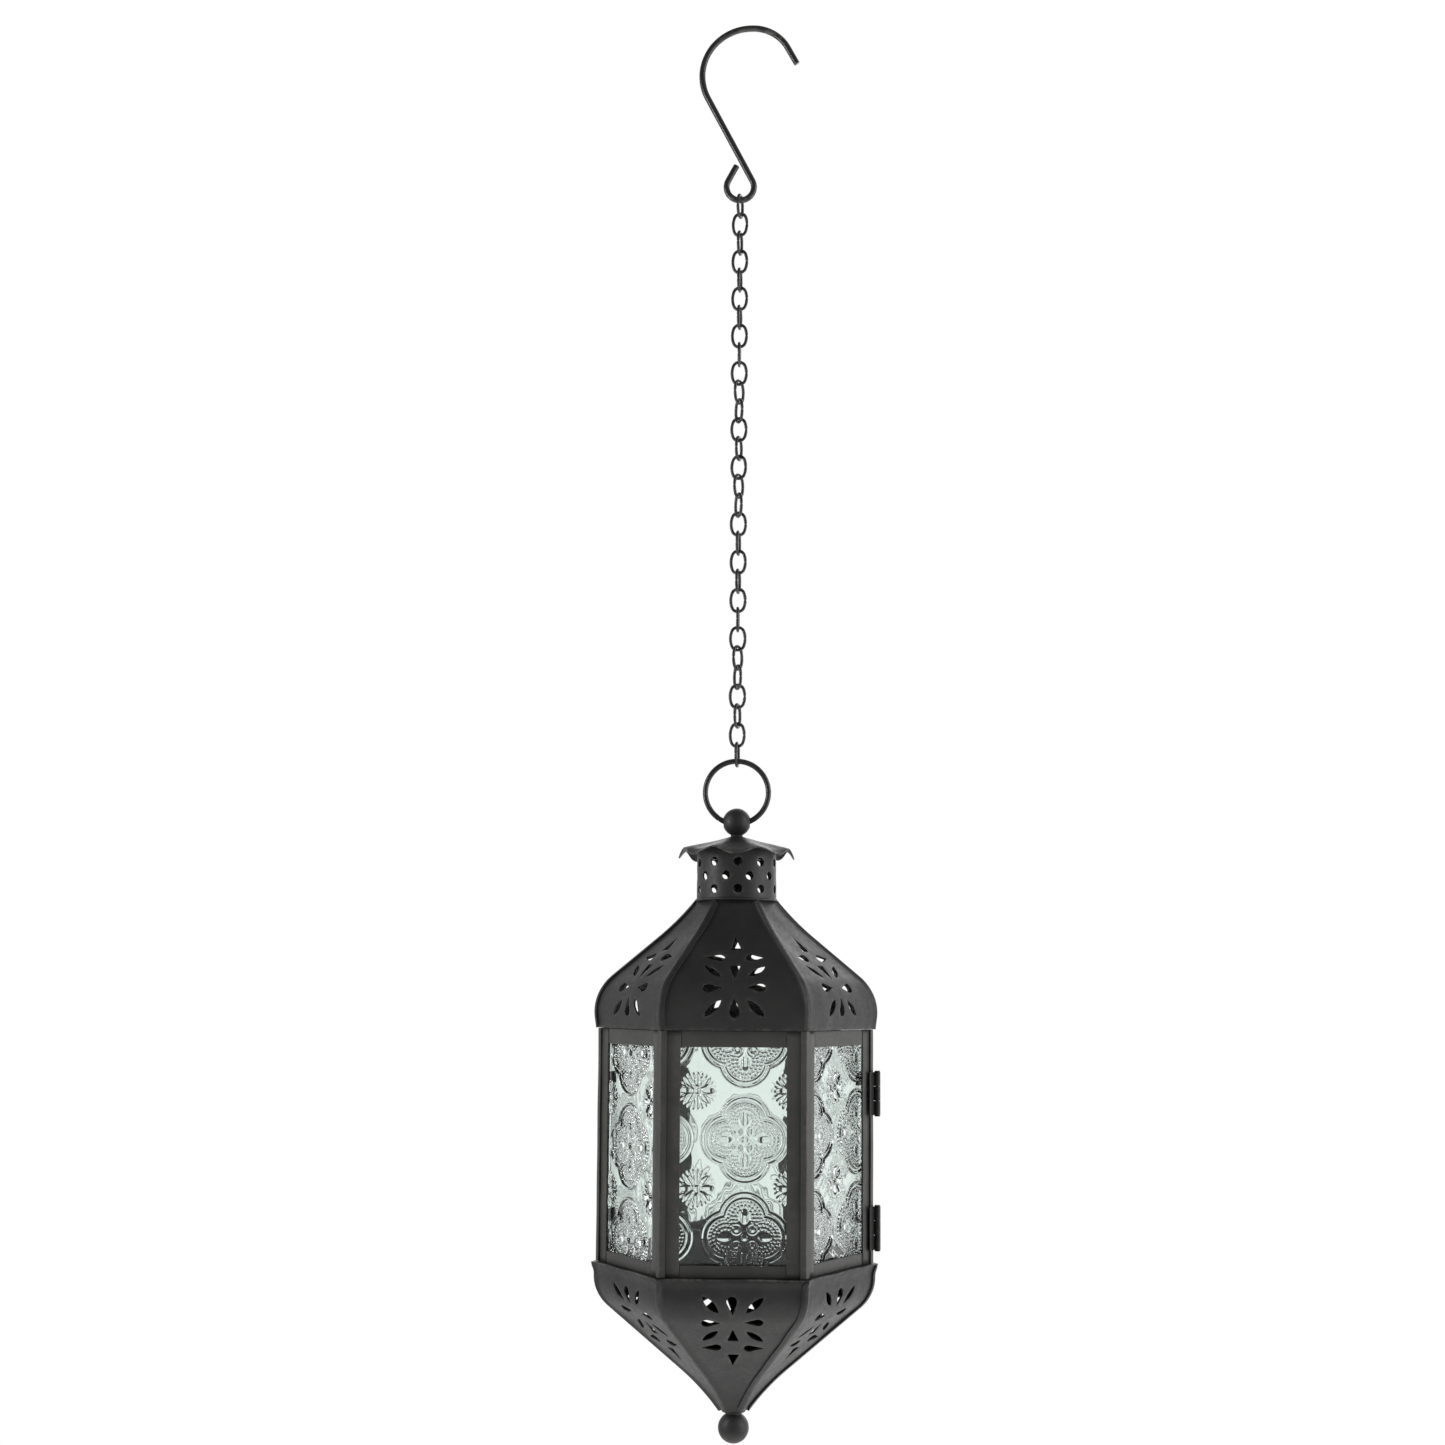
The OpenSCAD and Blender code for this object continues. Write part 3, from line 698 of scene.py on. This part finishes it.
def motif(centre, rng):
    """The pierced flower and star, each cut-out placed a little unevenly by hand."""
    petal, wedge, leaf = petal_shape(), wedge_shape(), leaf_shape()
    cuts = [(leaf, -LEAF_OFF * side, LEAF_OFF * up, turn)
            for side, up, turn in ((1, 1, 45), (1, -1, 135), (-1, -1, 225), (-1, 1, 315))]
    cuts += [(petal, 0, -PETAL_IN, 180), (petal, PETAL_IN, 0, -90), (petal, -PETAL_IN, 0, 90),
             (wedge, 0, PETAL_IN, 0), (petal, PETAL_IN + PETAL_L, STAR_S, 90),
             (petal, -PETAL_IN - PETAL_L, STAR_S, -90), (wedge, 0, STAR_S + PETAL_IN + PETAL_L, 180)]
    holes = []
    for shape, across, up, turn in cuts:
        a = math.radians(turn + rng.normal(0, 1.3))
        spin = np.array([[math.cos(a), math.sin(a)], [-math.sin(a), math.cos(a)]])
        place = np.array([across, up]) + centre + rng.normal(0, 0.12, 2)
        holes.append(resampled(shape * rng.normal(1, 0.015, 2), 0.45) @ spin + place)
    return holes


def along_leg(state, length, turn_per_mm):
    """Distance from the axis, height and lean in radians after a length of a straight or even bend."""
    r, z, lean = state
    a, b = np.radians(lean), np.radians(lean + turn_per_mm * length)
    if turn_per_mm == 0:
        return np.stack([r - length * np.sin(a), z + length * np.cos(a), a + 0 * length], -1)
    bend_r = 180 / (math.pi * turn_per_mm)
    return np.stack([r - bend_r * (np.cos(a) - np.cos(b)), z + bend_r * (np.sin(b) - np.sin(a)), b], -1)


def profile(legs, start, s):
    """Distance from the axis, height and lean in radians of a bent sheet at arc lengths s."""
    out = np.empty(s.shape + (3,))
    state, done = start, 0.0
    for length, turn in legs:
        here = s >= done if done else np.ones(s.shape, bool)
        out[here] = along_leg(state, s[here] - done, turn / length)
        r, z, lean = along_leg(state, np.float64(length), turn / length)
        state, done = [r, z, math.degrees(lean)], done + length
    return out


def panel_pattern(legs, start, centre, rng, seed):
    """The flat, pierced blank of a panel, with columns of points beside its fold line."""
    total = sum(leg[0] for leg in legs)
    s = np.linspace(0, total, 84)
    half_w = profile(legs, start, s)[:, 0] * math.tan(HALF)
    flap = FLAP_W * smooth(s / 1.5) * smooth((total - s) / 2.5) + 0.08 * ripple(s[:, None], 17, seed)
    right = np.stack([half_w + flap.clip(0.05), s], 1)
    left = np.stack([-half_w + 0.45, s], 1)[::-1]
    bottom = np.stack([np.linspace(left[-1, 0], right[0, 0], 50)[1:-1], np.zeros(48)], 1)
    top = np.stack([np.linspace(right[-1, 0], left[0, 0], 18)[1:-1], np.full(16, total)], 1)
    outline = np.concatenate([right, top, left, bottom])
    guide = [np.stack([half_w + beside, s], 1) for beside in (-1.7, -0.9, -0.3, 0.3, 0.9)]
    return punched_sheet(outline, motif(centre, rng), 1.15, np.concatenate(guide))


def ogee_panel(legs, start, centre, flare, seed):
    """One bent, pierced sheet with a flap on its +Y edge that laps over the next sheet."""
    points, triangles, rim = panel_pattern(legs, start, centre, np.random.default_rng(seed), seed)
    u, s = points.T
    r, z, lean = profile(legs, start, s).T
    r = r + flare * smooth(1 - s / 6) ** 2
    edge_u = r * math.tan(HALF)
    beyond = np.maximum(u - edge_u, 0)
    on_panel = np.minimum(u, edge_u)
    place = np.stack([r - beyond * math.sin(2 * HALF), on_panel + beyond * math.cos(2 * HALF), z], 1)
    own = np.stack([np.cos(lean), 0 * lean, np.sin(lean)], 1)
    side = np.stack([np.cos(lean) * math.cos(2 * HALF), np.cos(lean) * math.sin(2 * HALF), np.sin(lean)], 1)
    fold = smooth((u - edge_u + 0.45) / 0.9)[:, None]
    normal = own * (1 - fold) + side * fold
    normal /= np.linalg.norm(normal, axis=1)[:, None]
    lift = FLAP_LIFT * smooth((u - edge_u + 1.6) / 1.4)
    dent = 0.16 * ripple(points, 26, seed + 50) + 0.05 * ripple(points, 9, seed + 90)
    dent *= smooth((edge_u - np.abs(u)) / 5)
    burr = 0.07 * np.exp(-rim / 0.35)
    place += normal * (lift + dent - burr)[:, None]
    wear_and_highlight = 0.6 * np.exp(-rim / 0.4) * (np.abs(u) < edge_u - 1)
    # Along the fold line: edge wear, and a painted highlight where the bend would catch the light.
    wear_and_highlight += 0.35 * np.exp(-((u - edge_u) / 0.5) ** 2)
    return place, triangles, wear_and_highlight.clip(0, 1)


def shelf(start, sign):
    """The folded shelf inside a panel's edge, where the panel meets the body."""
    outer = start[0] - SHEET - 0.1
    z = np.array([0.05, SHELF_T]) * sign
    corners = []
    for height in z:
        for r in (SHELF_R, outer):
            half_w = (r - 0.3) * math.tan(HALF)
            corners += [[r, -half_w, height], [r, half_w, height]]
    faces = [[0, 1, 3, 2], [4, 6, 7, 5], [0, 4, 5, 1], [2, 3, 7, 6], [0, 2, 6, 4], [1, 5, 7, 3]]
    if sign < 0:
        faces = [face[::-1] for face in faces]
    return np.array(corners), faces


def roof_panels():
    """Six bent sheets, each with its folded shelf. The back one's flower sits higher and to one side."""
    for number, angle in enumerate(ALL_FACES):
        centre = ROOF_BACK_MOTIF if angle == 90 else ROOF_MOTIF
        points, triangles, wear_and_highlight = ogee_panel(ROOF, ROOF_START, centre, 0, 100 + number)
        points = turned(points, angle, FEET_Z + BODY_H + GAP)
        panel = drawn(f"roof_panel_{number + 1}", "roof_panels", points, triangles, wear_and_highlight)
        soften(thicken(panel, SHEET), 0.13)
        points, faces = shelf(ROOF_START, 1)
        points = turned(points, angle, FEET_Z + BODY_H)
        soften(drawn(f"roof_shelf_{number + 1}", "roof_panels", points, faces), 0.12)


def bowl_panels():
    """Six bent sheets like the roof's, upside down. The back one's flower sits to one side."""
    for number, angle in enumerate(ALL_FACES):
        centre = BOWL_BACK_MOTIF if angle == 90 else BOWL_MOTIF
        points, triangles, wear_and_highlight = ogee_panel(BOWL, BOWL_START, centre, BOWL_FLARE, 200 + number)
        points = turned(points * [1, -1, -1], angle, FEET_Z - 0.3)
        panel = drawn(f"bowl_panel_{number + 1}", "bowl_panels", points, triangles, wear_and_highlight)
        soften(thicken(panel, SHEET), 0.13)


def bowl_rim():
    """A thin flat rim between the posts and the bowl, drawn out a little at its corners."""
    steps = 40
    outer_r = FACE_R + LIP_OUT
    outline, inner = [], []
    for angle in ALL_FACES:
        for k in range(steps):
            part = 2 * k / steps - 1
            y = part * outer_r * math.tan(HALF)
            near = smooth((abs(part) - 0.9) / 0.1)
            r = outer_r + 0.25 * near + 0.07 * math.sin(y * 0.31 + angle)
            droop = 0.12 * math.sin(y * 0.23 + 2 * angle) - 0.25 * near
            outline.append(turned([[r, y, droop]], angle)[0])
            inner.append(turned([[SHELF_R, y * SHELF_R / outer_r, 0]], angle)[0])
    count = len(outline)
    outline, inner = np.array(outline), np.array(inner)
    middle = outline * [0.985, 0.985, 1]
    points = np.concatenate([inner, middle, outline]) + [0, 0, FEET_Z - 0.02]
    wear_and_highlight = np.concatenate([np.zeros(2 * count), np.ones(count)])
    soften(thicken(drawn("bowl_rim", "bowl_panels", points, quads(3, count), wear_and_highlight), 0.55), 0.12)


def collar_pattern(length, height, radius):
    """The flat strip that the collar is rolled from, with its rows of round holes."""
    rng = np.random.default_rng(7)
    outline = resampled(np.array([[0, 0], [length, 0], [length, height], [0, height]], float), 0.9)
    holes = []
    for row, z in enumerate(ROW_Z):
        for k in range(HOLES_ROUND):
            turn = FIRST_HOLE - 90 + (k + (0.5 if row == 1 else 0)) * 360 / HOLES_ROUND
            centre = np.array([math.radians(turn % 360) * radius, z]) + rng.normal(0, 0.12, 2)
            r = HOLE_R * rng.normal(1, 0.03)
            holes.append(np.array(arc_points(centre, r, 0, 360 - 360 / 22, 22)))
    return punched_sheet(outline, holes, 1.1)


def chimney_collar():
    """A punched strip rolled into a tube, lapped at the back, with a rolled band at its foot."""
    low, high = box_mm("chimney_collar")
    radius, height = high[0], high[2] - low[2]
    lap = 3.0
    length = 2 * math.pi * radius + lap
    points, triangles, rim = collar_pattern(length, height, radius)
    u, z = points.T
    turn = u / radius + math.pi / 2
    bump = 0.1 * ripple(np.stack([radius * np.cos(turn), radius * np.sin(turn), z], 1), 19, 71)
    over = smooth((u - length + lap + 1.5) / 1.5) * 0.75
    taper = 0.18 * (0.5 - z / height)
    r = radius - 0.15 + over + bump + taper - 0.06 * np.exp(-rim / 0.35)
    place = np.stack([r * np.cos(turn), r * np.sin(turn), z + low[2]], 1)
    wear_and_highlight = np.exp(-rim / 0.4) * 0.8
    soften(thicken(drawn("collar_tube", "chimney_collar", place, triangles, wear_and_highlight), 0.75), 0.12)
    turn = around(144)
    band = radius + 0.1
    path = np.stack([band * np.cos(turn), band * np.sin(turn), low[2] + 0.5 + 0.12 * np.sin(3 * turn + 1)], 1)
    drawn("collar_band", "chimney_collar", *ring_band(path, 0.42, 0.55))


def ring_band(path, depth, height):
    """A closed level band of oval section along a ring of points."""
    sides = 12
    outward = path * [1, 1, 0]
    outward /= np.linalg.norm(outward, axis=1)[:, None]
    angles = around(sides)
    ring = depth * np.cos(angles)[None, :, None] * outward[:, None]
    ring = ring + height * np.sin(angles)[None, :, None] * np.array([0, 0, 1.0])
    return (path[:, None] + ring).reshape(-1, 3), quads(len(path), sides, True)


def scalloped_cap():
    """A fluted cone round the ball's neck. The tips of its lobes curl down, some more than others."""
    turns, rings = 320, 52
    inner_r = 2.6
    turn = around(turns)
    lobe = (1 + np.cos(LOBES * turn)) / 2
    curl = 0.62 + 0.38 * np.cos(2 * turn) + 0.12 * np.sin(3 * turn + 1)
    rim_r = CAP_R - 1.5 * (1 - lobe) - 0.3 * (1 + np.cos(3 * turn + 2)) / 2
    t = np.linspace(0, 1, rings)[:, None]
    r = inner_r + (rim_r - inner_r) * t
    flute = 0.75 * smooth((t - 0.25) / 0.75) * np.cos(LOBES * turn)
    drop = 2.4 * lobe**0.8 * curl * smooth((t - 0.82) / 0.22) ** 1.2
    uneven = 0.3 * np.sin(2 * turn + 0.7) * t**2 + 0.2 * np.sin(5 * turn) * t**2
    z = CAP_Z + CAP_T + APEX_RISE - r * math.tan(CAP_SLOPE) - flute - drop + uneven
    pull = smooth((t - 0.86) / 0.2) * lobe * curl
    x, y = (r - pull) * np.cos(turn), (r - pull) * np.sin(turn)
    points = np.stack([x, y, z + FEET_Z], -1).reshape(-1, 3)
    # Painted highlight along the raised ridges between the lobes, stronger towards the rim; the rim's own
    # edge is rubbed.
    ridge_highlight = smooth((t - 0.3) / 0.4) * (1 - lobe) ** 6 * 0.7 + 0 * r
    wear_and_highlight = np.maximum(ridge_highlight, smooth((t - 0.97) / 0.03) + 0 * r).ravel()
    cap = drawn("cap_fluted", "scalloped_cap", points, quads(rings, turns), wear_and_highlight)
    soften(thicken(cap, CAP_T), 0.1, 50)


# ---- Posts and frames ----

def swept(section, levels, shifts):
    """A section of [x, y] points drawn out along Z, with a small shift [x, y] at each level."""
    points = [[x + dx, y + dy, z] for z, (dx, dy) in zip(levels, shifts) for x, y in section]
    return np.array(points), prism_faces(len(levels), len(section))


def corner_post(number, angle):
    """A narrow angle of sheet with a rounded bend."""
    bend, spread = 0.75, 24
    flange_way = np.array([-math.sin(HALF), math.cos(HALF)])
    mirror = [1, -1]
    corner = np.array([CORNER_R - 0.03, 0])
    cut = bend / math.tan(2 * HALF)
    centre = corner - [bend / math.cos(HALF), 0]
    outer = [corner + flange_way * POST_FLANGE, corner + flange_way * cut]
    outer += arc_points(centre, bend, spread, -spread, 7)
    outer += [corner + flange_way * mirror * cut, corner + flange_way * mirror * POST_FLANGE]
    outer = np.array(outer)[::-1]
    leans = np.radians([-30, -30, *np.linspace(-spread, spread, 7), 30, 30])
    normals = np.stack([np.cos(leans), np.sin(leans)], 1)
    section = np.concatenate([outer, (outer - normals * POST_T)[::-1]])
    levels = np.linspace(0.1, BODY_H - 0.1, 32)
    waver = [ripple(levels[:, None], 31, 300 + number), ripple(levels[:, None], 23, 301 + number)]
    points, faces = swept(section, levels, WAVER * np.stack(waver, 1))
    along = np.abs(points[:, 2] - BODY_H / 2)
    wear_and_highlight = np.exp(-((points[:, 0] - CORNER_R) / 0.5) ** 2) * (0.55 + 0.3 * np.sin(along * 0.21 + number))
    points = turned(points, angle, FEET_Z)
    soften(drawn(f"corner_post_{number + 1}", "corner_posts", points, faces, wear_and_highlight.clip(0, 1)), 0.14, 50)


def bar(low, high, radius, long_axis, seed):
    """A flat bar between two corners with rounded edges, drawn along its long axis, Y or Z."""
    b = 3 - long_axis
    corners = [(high[0], high[b], 0), (low[0], high[b], 90), (low[0], low[b], 180), (high[0], low[b], 270)]
    section = []
    for x, y, turn in corners:
        cx = x - radius if x == high[0] else x + radius
        cy = y - radius if y == high[b] else y + radius
        section += arc_points((cx, cy), radius, turn, turn + 90, 4)
    length = high[long_axis] - low[long_axis]
    levels = np.linspace(low[long_axis], high[long_axis], max(4, round(length / 2.5)))
    shifts = np.stack([WAVER * ripple(levels[:, None], 27, seed), 0 * levels], 1)
    points, faces = swept(section, levels, shifts)
    if long_axis == 1:
        points, faces = points[:, [0, 2, 1]], [face[::-1] for face in faces]
    return points, faces


def window_frame(r, y0, y1, z0, z1, seed):
    """Two full-height stiles with a rail set back between them at each end."""
    x = r - FRAME_T
    side = LIGHT_W / 2
    top = BODY_H - RAIL_TOP
    edge = 0.22
    return join([
        bar([x, y0, z0], [r, -side, z1], edge, 2, seed),
        bar([x, side, z0], [r, y1, z1], edge, 2, seed + 1),
        bar([x, -side - 1, z0], [x + RAIL_T, side + 1, RAIL_LOW], edge, 1, seed + 2),
        bar([x, -side - 1, top], [x + RAIL_T, side + 1, z1], edge, 1, seed + 3)])


def frame_edge_highlight(points, r):
    """A painted highlight along the side edges of the opening, on the frame's outer face."""
    near = np.minimum(np.abs(np.abs(points[:, 1]) - LIGHT_W / 2), 3)
    return (0.75 * np.exp(-(near / 0.35) ** 2) * (points[:, 0] > r - 0.5)).clip(0, 1)


def side_frames():
    """The five fixed frames, just behind the posts."""
    reach = FRAME_R * math.tan(HALF) - 0.8
    z0, z1 = FRAME_GAP_Z, BODY_H - FRAME_GAP_Z
    for number, angle in enumerate(SIDES):
        points, faces = window_frame(FRAME_R, -reach, reach, z0, z1, 400 + 10 * number)
        wear_and_highlight = frame_edge_highlight(points, FRAME_R)
        drawn(f"side_frame_{number + 1}", "side_frames", turned(points, angle, FEET_Z), faces, wear_and_highlight)


def door_frame():
    """The door's frame, flush with the posts."""
    points, faces = window_frame(FACE_R, *DOOR_Y, DOOR_GAP_Z, BODY_H - DOOR_GAP_Z, 470)
    drawn("door_leaf", "door_frame", turned(points, DOOR, FEET_Z), faces, frame_edge_highlight(points, FACE_R))


# ---- Glass ----

def bead(distance, centre, half_width):
    """A rounded ridge across a distance field."""
    t = np.clip(np.abs(distance - centre) / half_width, 0, 1)
    return 0.5 * (1 + np.cos(math.pi * t))


def dome(x, y, half_x, half_y):
    """A smooth oval bump at the origin."""
    t = np.clip(1 - (x / half_x) ** 2 - (y / half_y) ** 2, 0, 1)
    return t**0.8


def relief(x, y):
    """Height of the pressed pattern at x, y from the middle of a quatrefoil."""
    cx = (x + PATTERN / 2) % PATTERN - PATTERN / 2
    cy = (y + PATTERN / 2) % PATTERN - PATTERN / 2
    lobes = [(LOBE_OFF, 0), (0, LOBE_OFF), (-LOBE_OFF, 0), (0, -LOBE_OFF)]
    reach = [np.hypot(cx - ox, cy - oy) for ox, oy in lobes]
    edge = np.minimum.reduce(reach) - LOBE_R
    from_middle = np.hypot(cx, cy)
    height = 0.78 * bead(edge, -0.5, 0.8) + 0.8 * bead(edge, -2.6, 0.75)
    for (ox, oy), rho in zip(lobes, reach):
        nearest = rho - LOBE_R <= edge + 1e-9
        radial = (cx * ox + cy * oy) / LOBE_OFF
        across = (cx * oy - cy * ox) / LOBE_OFF
        clear = (np.hypot(radial - 8.0, across * 1.9) > 3.4) & (from_middle > 5.4)
        phi = np.arctan2(cy - oy, cx - ox)
        for row in DOT_ROWS:
            row_r = LOBE_R - row
            step = 2 * math.pi / round(2 * math.pi * row_r / DOT_PITCH)
            along = ((phi + step / 2) % step - step / 2) * row_r
            dots = dome(rho - row_r, along, 0.62, 0.55)
            height = np.maximum(height, 0.5 * dots * (nearest & clear))
        height = np.maximum(height, 0.95 * dome(radial - 8.0, across, 2.9, 1.55))
    curl = np.hypot(np.abs(cx) - 3.1, np.abs(cy) - 3.1)
    height = np.maximum(height, 0.6 * dome(curl, 0 * curl, 1.15, 1))
    height = np.maximum(height, 0.4 * bead(curl, 1.95, 0.45) * (from_middle < 6.6))
    height = np.maximum(height, 0.75 * dome(cx, cy, 1.4, 1.4))
    fx = x % PATTERN - PATTERN / 2
    fy = y % PATTERN - PATTERN / 2
    rho, phi = np.hypot(fx, fy), np.arctan2(fy, fx)
    petal = math.pi / 4
    lean = (phi + petal / 2) % petal - petal / 2
    out, across = rho * np.cos(lean), rho * np.sin(lean)
    height = np.maximum(height, 0.9 * dome(out - 4.2, across, 2.6, 1.3))
    height = np.maximum(height, 0.65 * dome(fx, fy, 1.2, 1.2))
    rays = (0.5 + 0.5 * np.cos(24 * phi)) ** 1.5 * bead(rho, 6.1, 1.7)
    return np.maximum(height, 0.27 * rays)


def pane(name, node, r, angle, seed):
    """A pane with its pattern pressed in the outer face and a plain inner face."""
    z0, z1 = RAIL_LOW - GLASS_LAP, BODY_H - RAIL_TOP + GLASS_LAP
    across = np.linspace(-GLASS_W / 2, GLASS_W / 2, round(GLASS_W / GLASS_STEP))
    up = np.linspace(z0, z1, round((z1 - z0) / GLASS_STEP))
    y, z = np.meshgrid(across, up, indexing="ij")
    shift_y, shift_z = PANE_SHIFT[angle]
    height = relief(y - shift_y, z - shift_z)
    flat = np.stack([y.ravel(), z.ravel()], 1)
    uneven = 0.06 * ripple(flat, 16, seed) + 0.02 * ripple(flat, 4, seed + 1)
    x = r - RELIEF_ROOM + height + uneven.reshape(height.shape)
    back = [[r - GLASS_T, across[i], up[j]] for i, j in ((0, 0), (-1, 0), (-1, -1), (0, -1))]
    points = turned(np.concatenate([np.stack([x, y, z], -1).reshape(-1, 3), back]), angle, FEET_Z)
    base = x.size
    index = np.arange(base).reshape(x.shape)
    grid = np.stack([index[:-1, :-1], index[1:, :-1], index[1:, 1:], index[:-1, 1:]], -1).reshape(-1, 4)
    walls = [index[::-1, 0].tolist() + [base, base + 1],
             index[-1, ::-1].tolist() + [base + 1, base + 2],
             index[:, -1].tolist() + [base + 2, base + 3],
             index[0, :].tolist() + [base + 3, base],
             [base + 3, base + 2, base + 1, base]]
    mesh = drawn(name, node, points, grid.tolist() + walls).data
    for k in range(len(grid), len(mesh.polygons)):
        mesh.polygons[k].use_smooth = False


# ---- Camera, light and floor ----

def camera():
    """Looks at the lantern from the height of its roof's foot, tilted up to take in the hook."""
    data = bpy.data.cameras.new("camera")
    data.lens = LENS
    data.sensor_width = 36
    data.shift_y = SHIFT_Y
    data.clip_start, data.clip_end = 0.01, 50
    view = bpy.data.objects.new("camera", data)
    azimuth, pitch, aim_left, roll = np.radians([AZIMUTH, PITCH, AIM_LEFT, ROLL])
    away, up = CAMERA_AWAY * MM, (FEET_Z + CAMERA_UP) * MM
    view.location = (away * math.sin(azimuth), -away * math.cos(azimuth), up)
    look = Euler((math.pi / 2 + pitch, 0, azimuth + aim_left)).to_matrix()
    view.rotation_euler = (look @ Matrix.Rotation(roll, 3, "Z")).to_euler()
    bpy.context.scene.collection.objects.link(view)
    bpy.context.scene.camera = view


def area_light(name, place, target, size, power):
    """A soft box that is not itself seen, either directly or through the glass."""
    data = bpy.data.lights.new(name, "AREA")
    data.shape = "RECTANGLE"
    data.size, data.size_y = size
    data.energy = power
    light = bpy.data.objects.new(name, data)
    light.location = place
    light.rotation_euler = (Vector(target) - Vector(place)).to_track_quat("-Z", "Y").to_euler()
    light.visible_camera = False
    light.visible_transmission = False
    bpy.context.scene.collection.objects.link(light)


def light_maths(tree):
    """Returns a maker of Math nodes and a maker of soft steps, both of which give back a socket."""

    def fill(node, slot, value):
        if isinstance(value, bpy.types.NodeSocket):
            tree.links.new(value, node.inputs[slot])
        else:
            node.inputs[slot].default_value = value

    def maths(operation, *values):
        node = tree.nodes.new("ShaderNodeMath")
        node.operation = operation
        for slot, value in enumerate(values):
            fill(node, slot, value)
        return node.outputs[0]

    def step(value, start, end, low=0.0, high=1.0):
        node = tree.nodes.new("ShaderNodeMapRange")
        node.interpolation_type = "SMOOTHSTEP"
        for name, number in (("From Min", start), ("From Max", end), ("To Min", low), ("To Max", high)):
            node.inputs[name].default_value = number
        fill(node, "Value", value)
        return node.outputs["Result"]

    return maths, step


def surround(tree):
    """Brightness of the flats seen through the glass, of the room that gloss mirrors, and of its fill.

    The flats are eight white panels round the object, brighter to its sides, with greyer gaps. The
    room is brightest behind the object, more so on the right. Its fill comes from below and the right.
    """
    maths, step = light_maths(tree)
    place = tree.nodes.new("ShaderNodeTexCoord")
    split = tree.nodes.new("ShaderNodeSeparateXYZ")
    tree.links.new(place.outputs["Generated"], split.inputs[0])
    x, y, z = split.outputs
    upright = step(maths("COSINE", maths("MULTIPLY", maths("ARCTAN2", x, y), 8.0)), -0.7, 0.1)
    level = step(maths("ABSOLUTE", z), 0.7, 0.4)
    lit = maths("MULTIPLY", upright, level)
    panels = maths("MULTIPLY_ADD", lit, FLAT_LIT - FLAT_GAP, FLAT_GAP)
    aside = maths("ABSOLUTE", x)
    panels = maths("MULTIPLY", panels, step(aside, 0.15, 0.5, 0.78, 1.55))
    panels = maths("MULTIPLY", panels, step(aside, 0.6, 0.85, 1.0, 0.57))
    behind = maths("MULTIPLY", step(y, 0.3, 0.85, 0.16, 1.0), step(x, -0.6, 0.6, 0.8, 1.75))
    beside = maths("ADD", step(x, -0.25, -0.95, 0.0, 0.15), step(x, 0.25, 0.95, 0.0, 0.3))
    room = maths("ADD", maths("ADD", behind, beside), step(z, -0.2, -0.8, 0.0, 0.35))
    below = step(z, 0.4, -0.6, 0.02, 1.1)
    fill = maths("ADD", below, step(x, 0.1, 0.9, 0.0, 0.45))
    return panels, room, fill


def world_light():
    """A white world to the camera, with its own brightness for diffuse, glossy and transmitted rays."""
    world = bpy.data.worlds.new("studio")
    bpy.context.scene.world = world
    world.use_nodes = True
    tree = world.node_tree
    tree.nodes.clear()
    output = tree.nodes.new("ShaderNodeOutputWorld")
    path = tree.nodes.new("ShaderNodeLightPath")
    panels, room, fill = surround(tree)
    light = None
    for ray, strength in (("Diffuse", fill), ("Glossy", room), ("Transmission", panels), ("Camera", None)):
        white = tree.nodes.new("ShaderNodeBackground")
        white.inputs["Color"].default_value = (1, 1, 1, 1)
        if strength is not None:
            tree.links.new(strength, white.inputs["Strength"])
        if light is None:
            light = white.outputs[0]
            continue
        mix = tree.nodes.new("ShaderNodeMixShader")
        tree.links.new(path.outputs[f"Is {ray} Ray"], mix.inputs[0])
        tree.links.new(light, mix.inputs[1])
        tree.links.new(white.outputs[0], mix.inputs[2])
        light = mix.outputs[0]
    tree.links.new(light, output.inputs["Surface"])


def floor():
    """A round sheet of pale paper far below the lantern."""
    turn = around(96)
    ring = np.stack([FLOOR_R * np.cos(turn), FLOOR_R * np.sin(turn), 0 * turn + FLOOR_Z], 1)
    mesh = bpy.data.meshes.new("floor")
    mesh.from_pydata(ring.tolist(), [], [list(range(96))])
    sheet = bpy.data.objects.new("floor", mesh)
    bpy.context.scene.collection.objects.link(sheet)
    mesh.materials.append(floor_paper())


bpy.context.scene.view_settings.view_transform = "Standard"
camera()
world_light()
for light in LIGHTS:
    area_light(*light)
floor()
s_hook()
for i in range(1, len(LINK_TURN) + 1):
    chain_link(i)
hanging_ring()
hanger_ball()
scalloped_cap()
chimney_collar()
roof_panels()
for number, angle in enumerate(range(0, 360, 60)):
    corner_post(number, angle)
side_frames()
for number, angle in enumerate(SIDES):
    pane(f"side_pane_{number + 1}", "side_glass", FRAME_R - FRAME_T - GAP, angle, 500 + number)
door_frame()
pane("door_pane", "door_glass", FACE_R - FRAME_T - GAP, DOOR, 520)
bowl_panels()
bowl_rim()
candle_cup()
finial_ball()
for node in ("hanger_bolt", "chimney_bridge", "side_glass_clips", "door_glass_clips", "hinge_post_leaves",
             "hinge_door_leaves", "hinge_pins", "door_stop", "latch_rivet", "latch_button",
             "floor_plate", "finial_screw"):
    copied(node, 0.1)
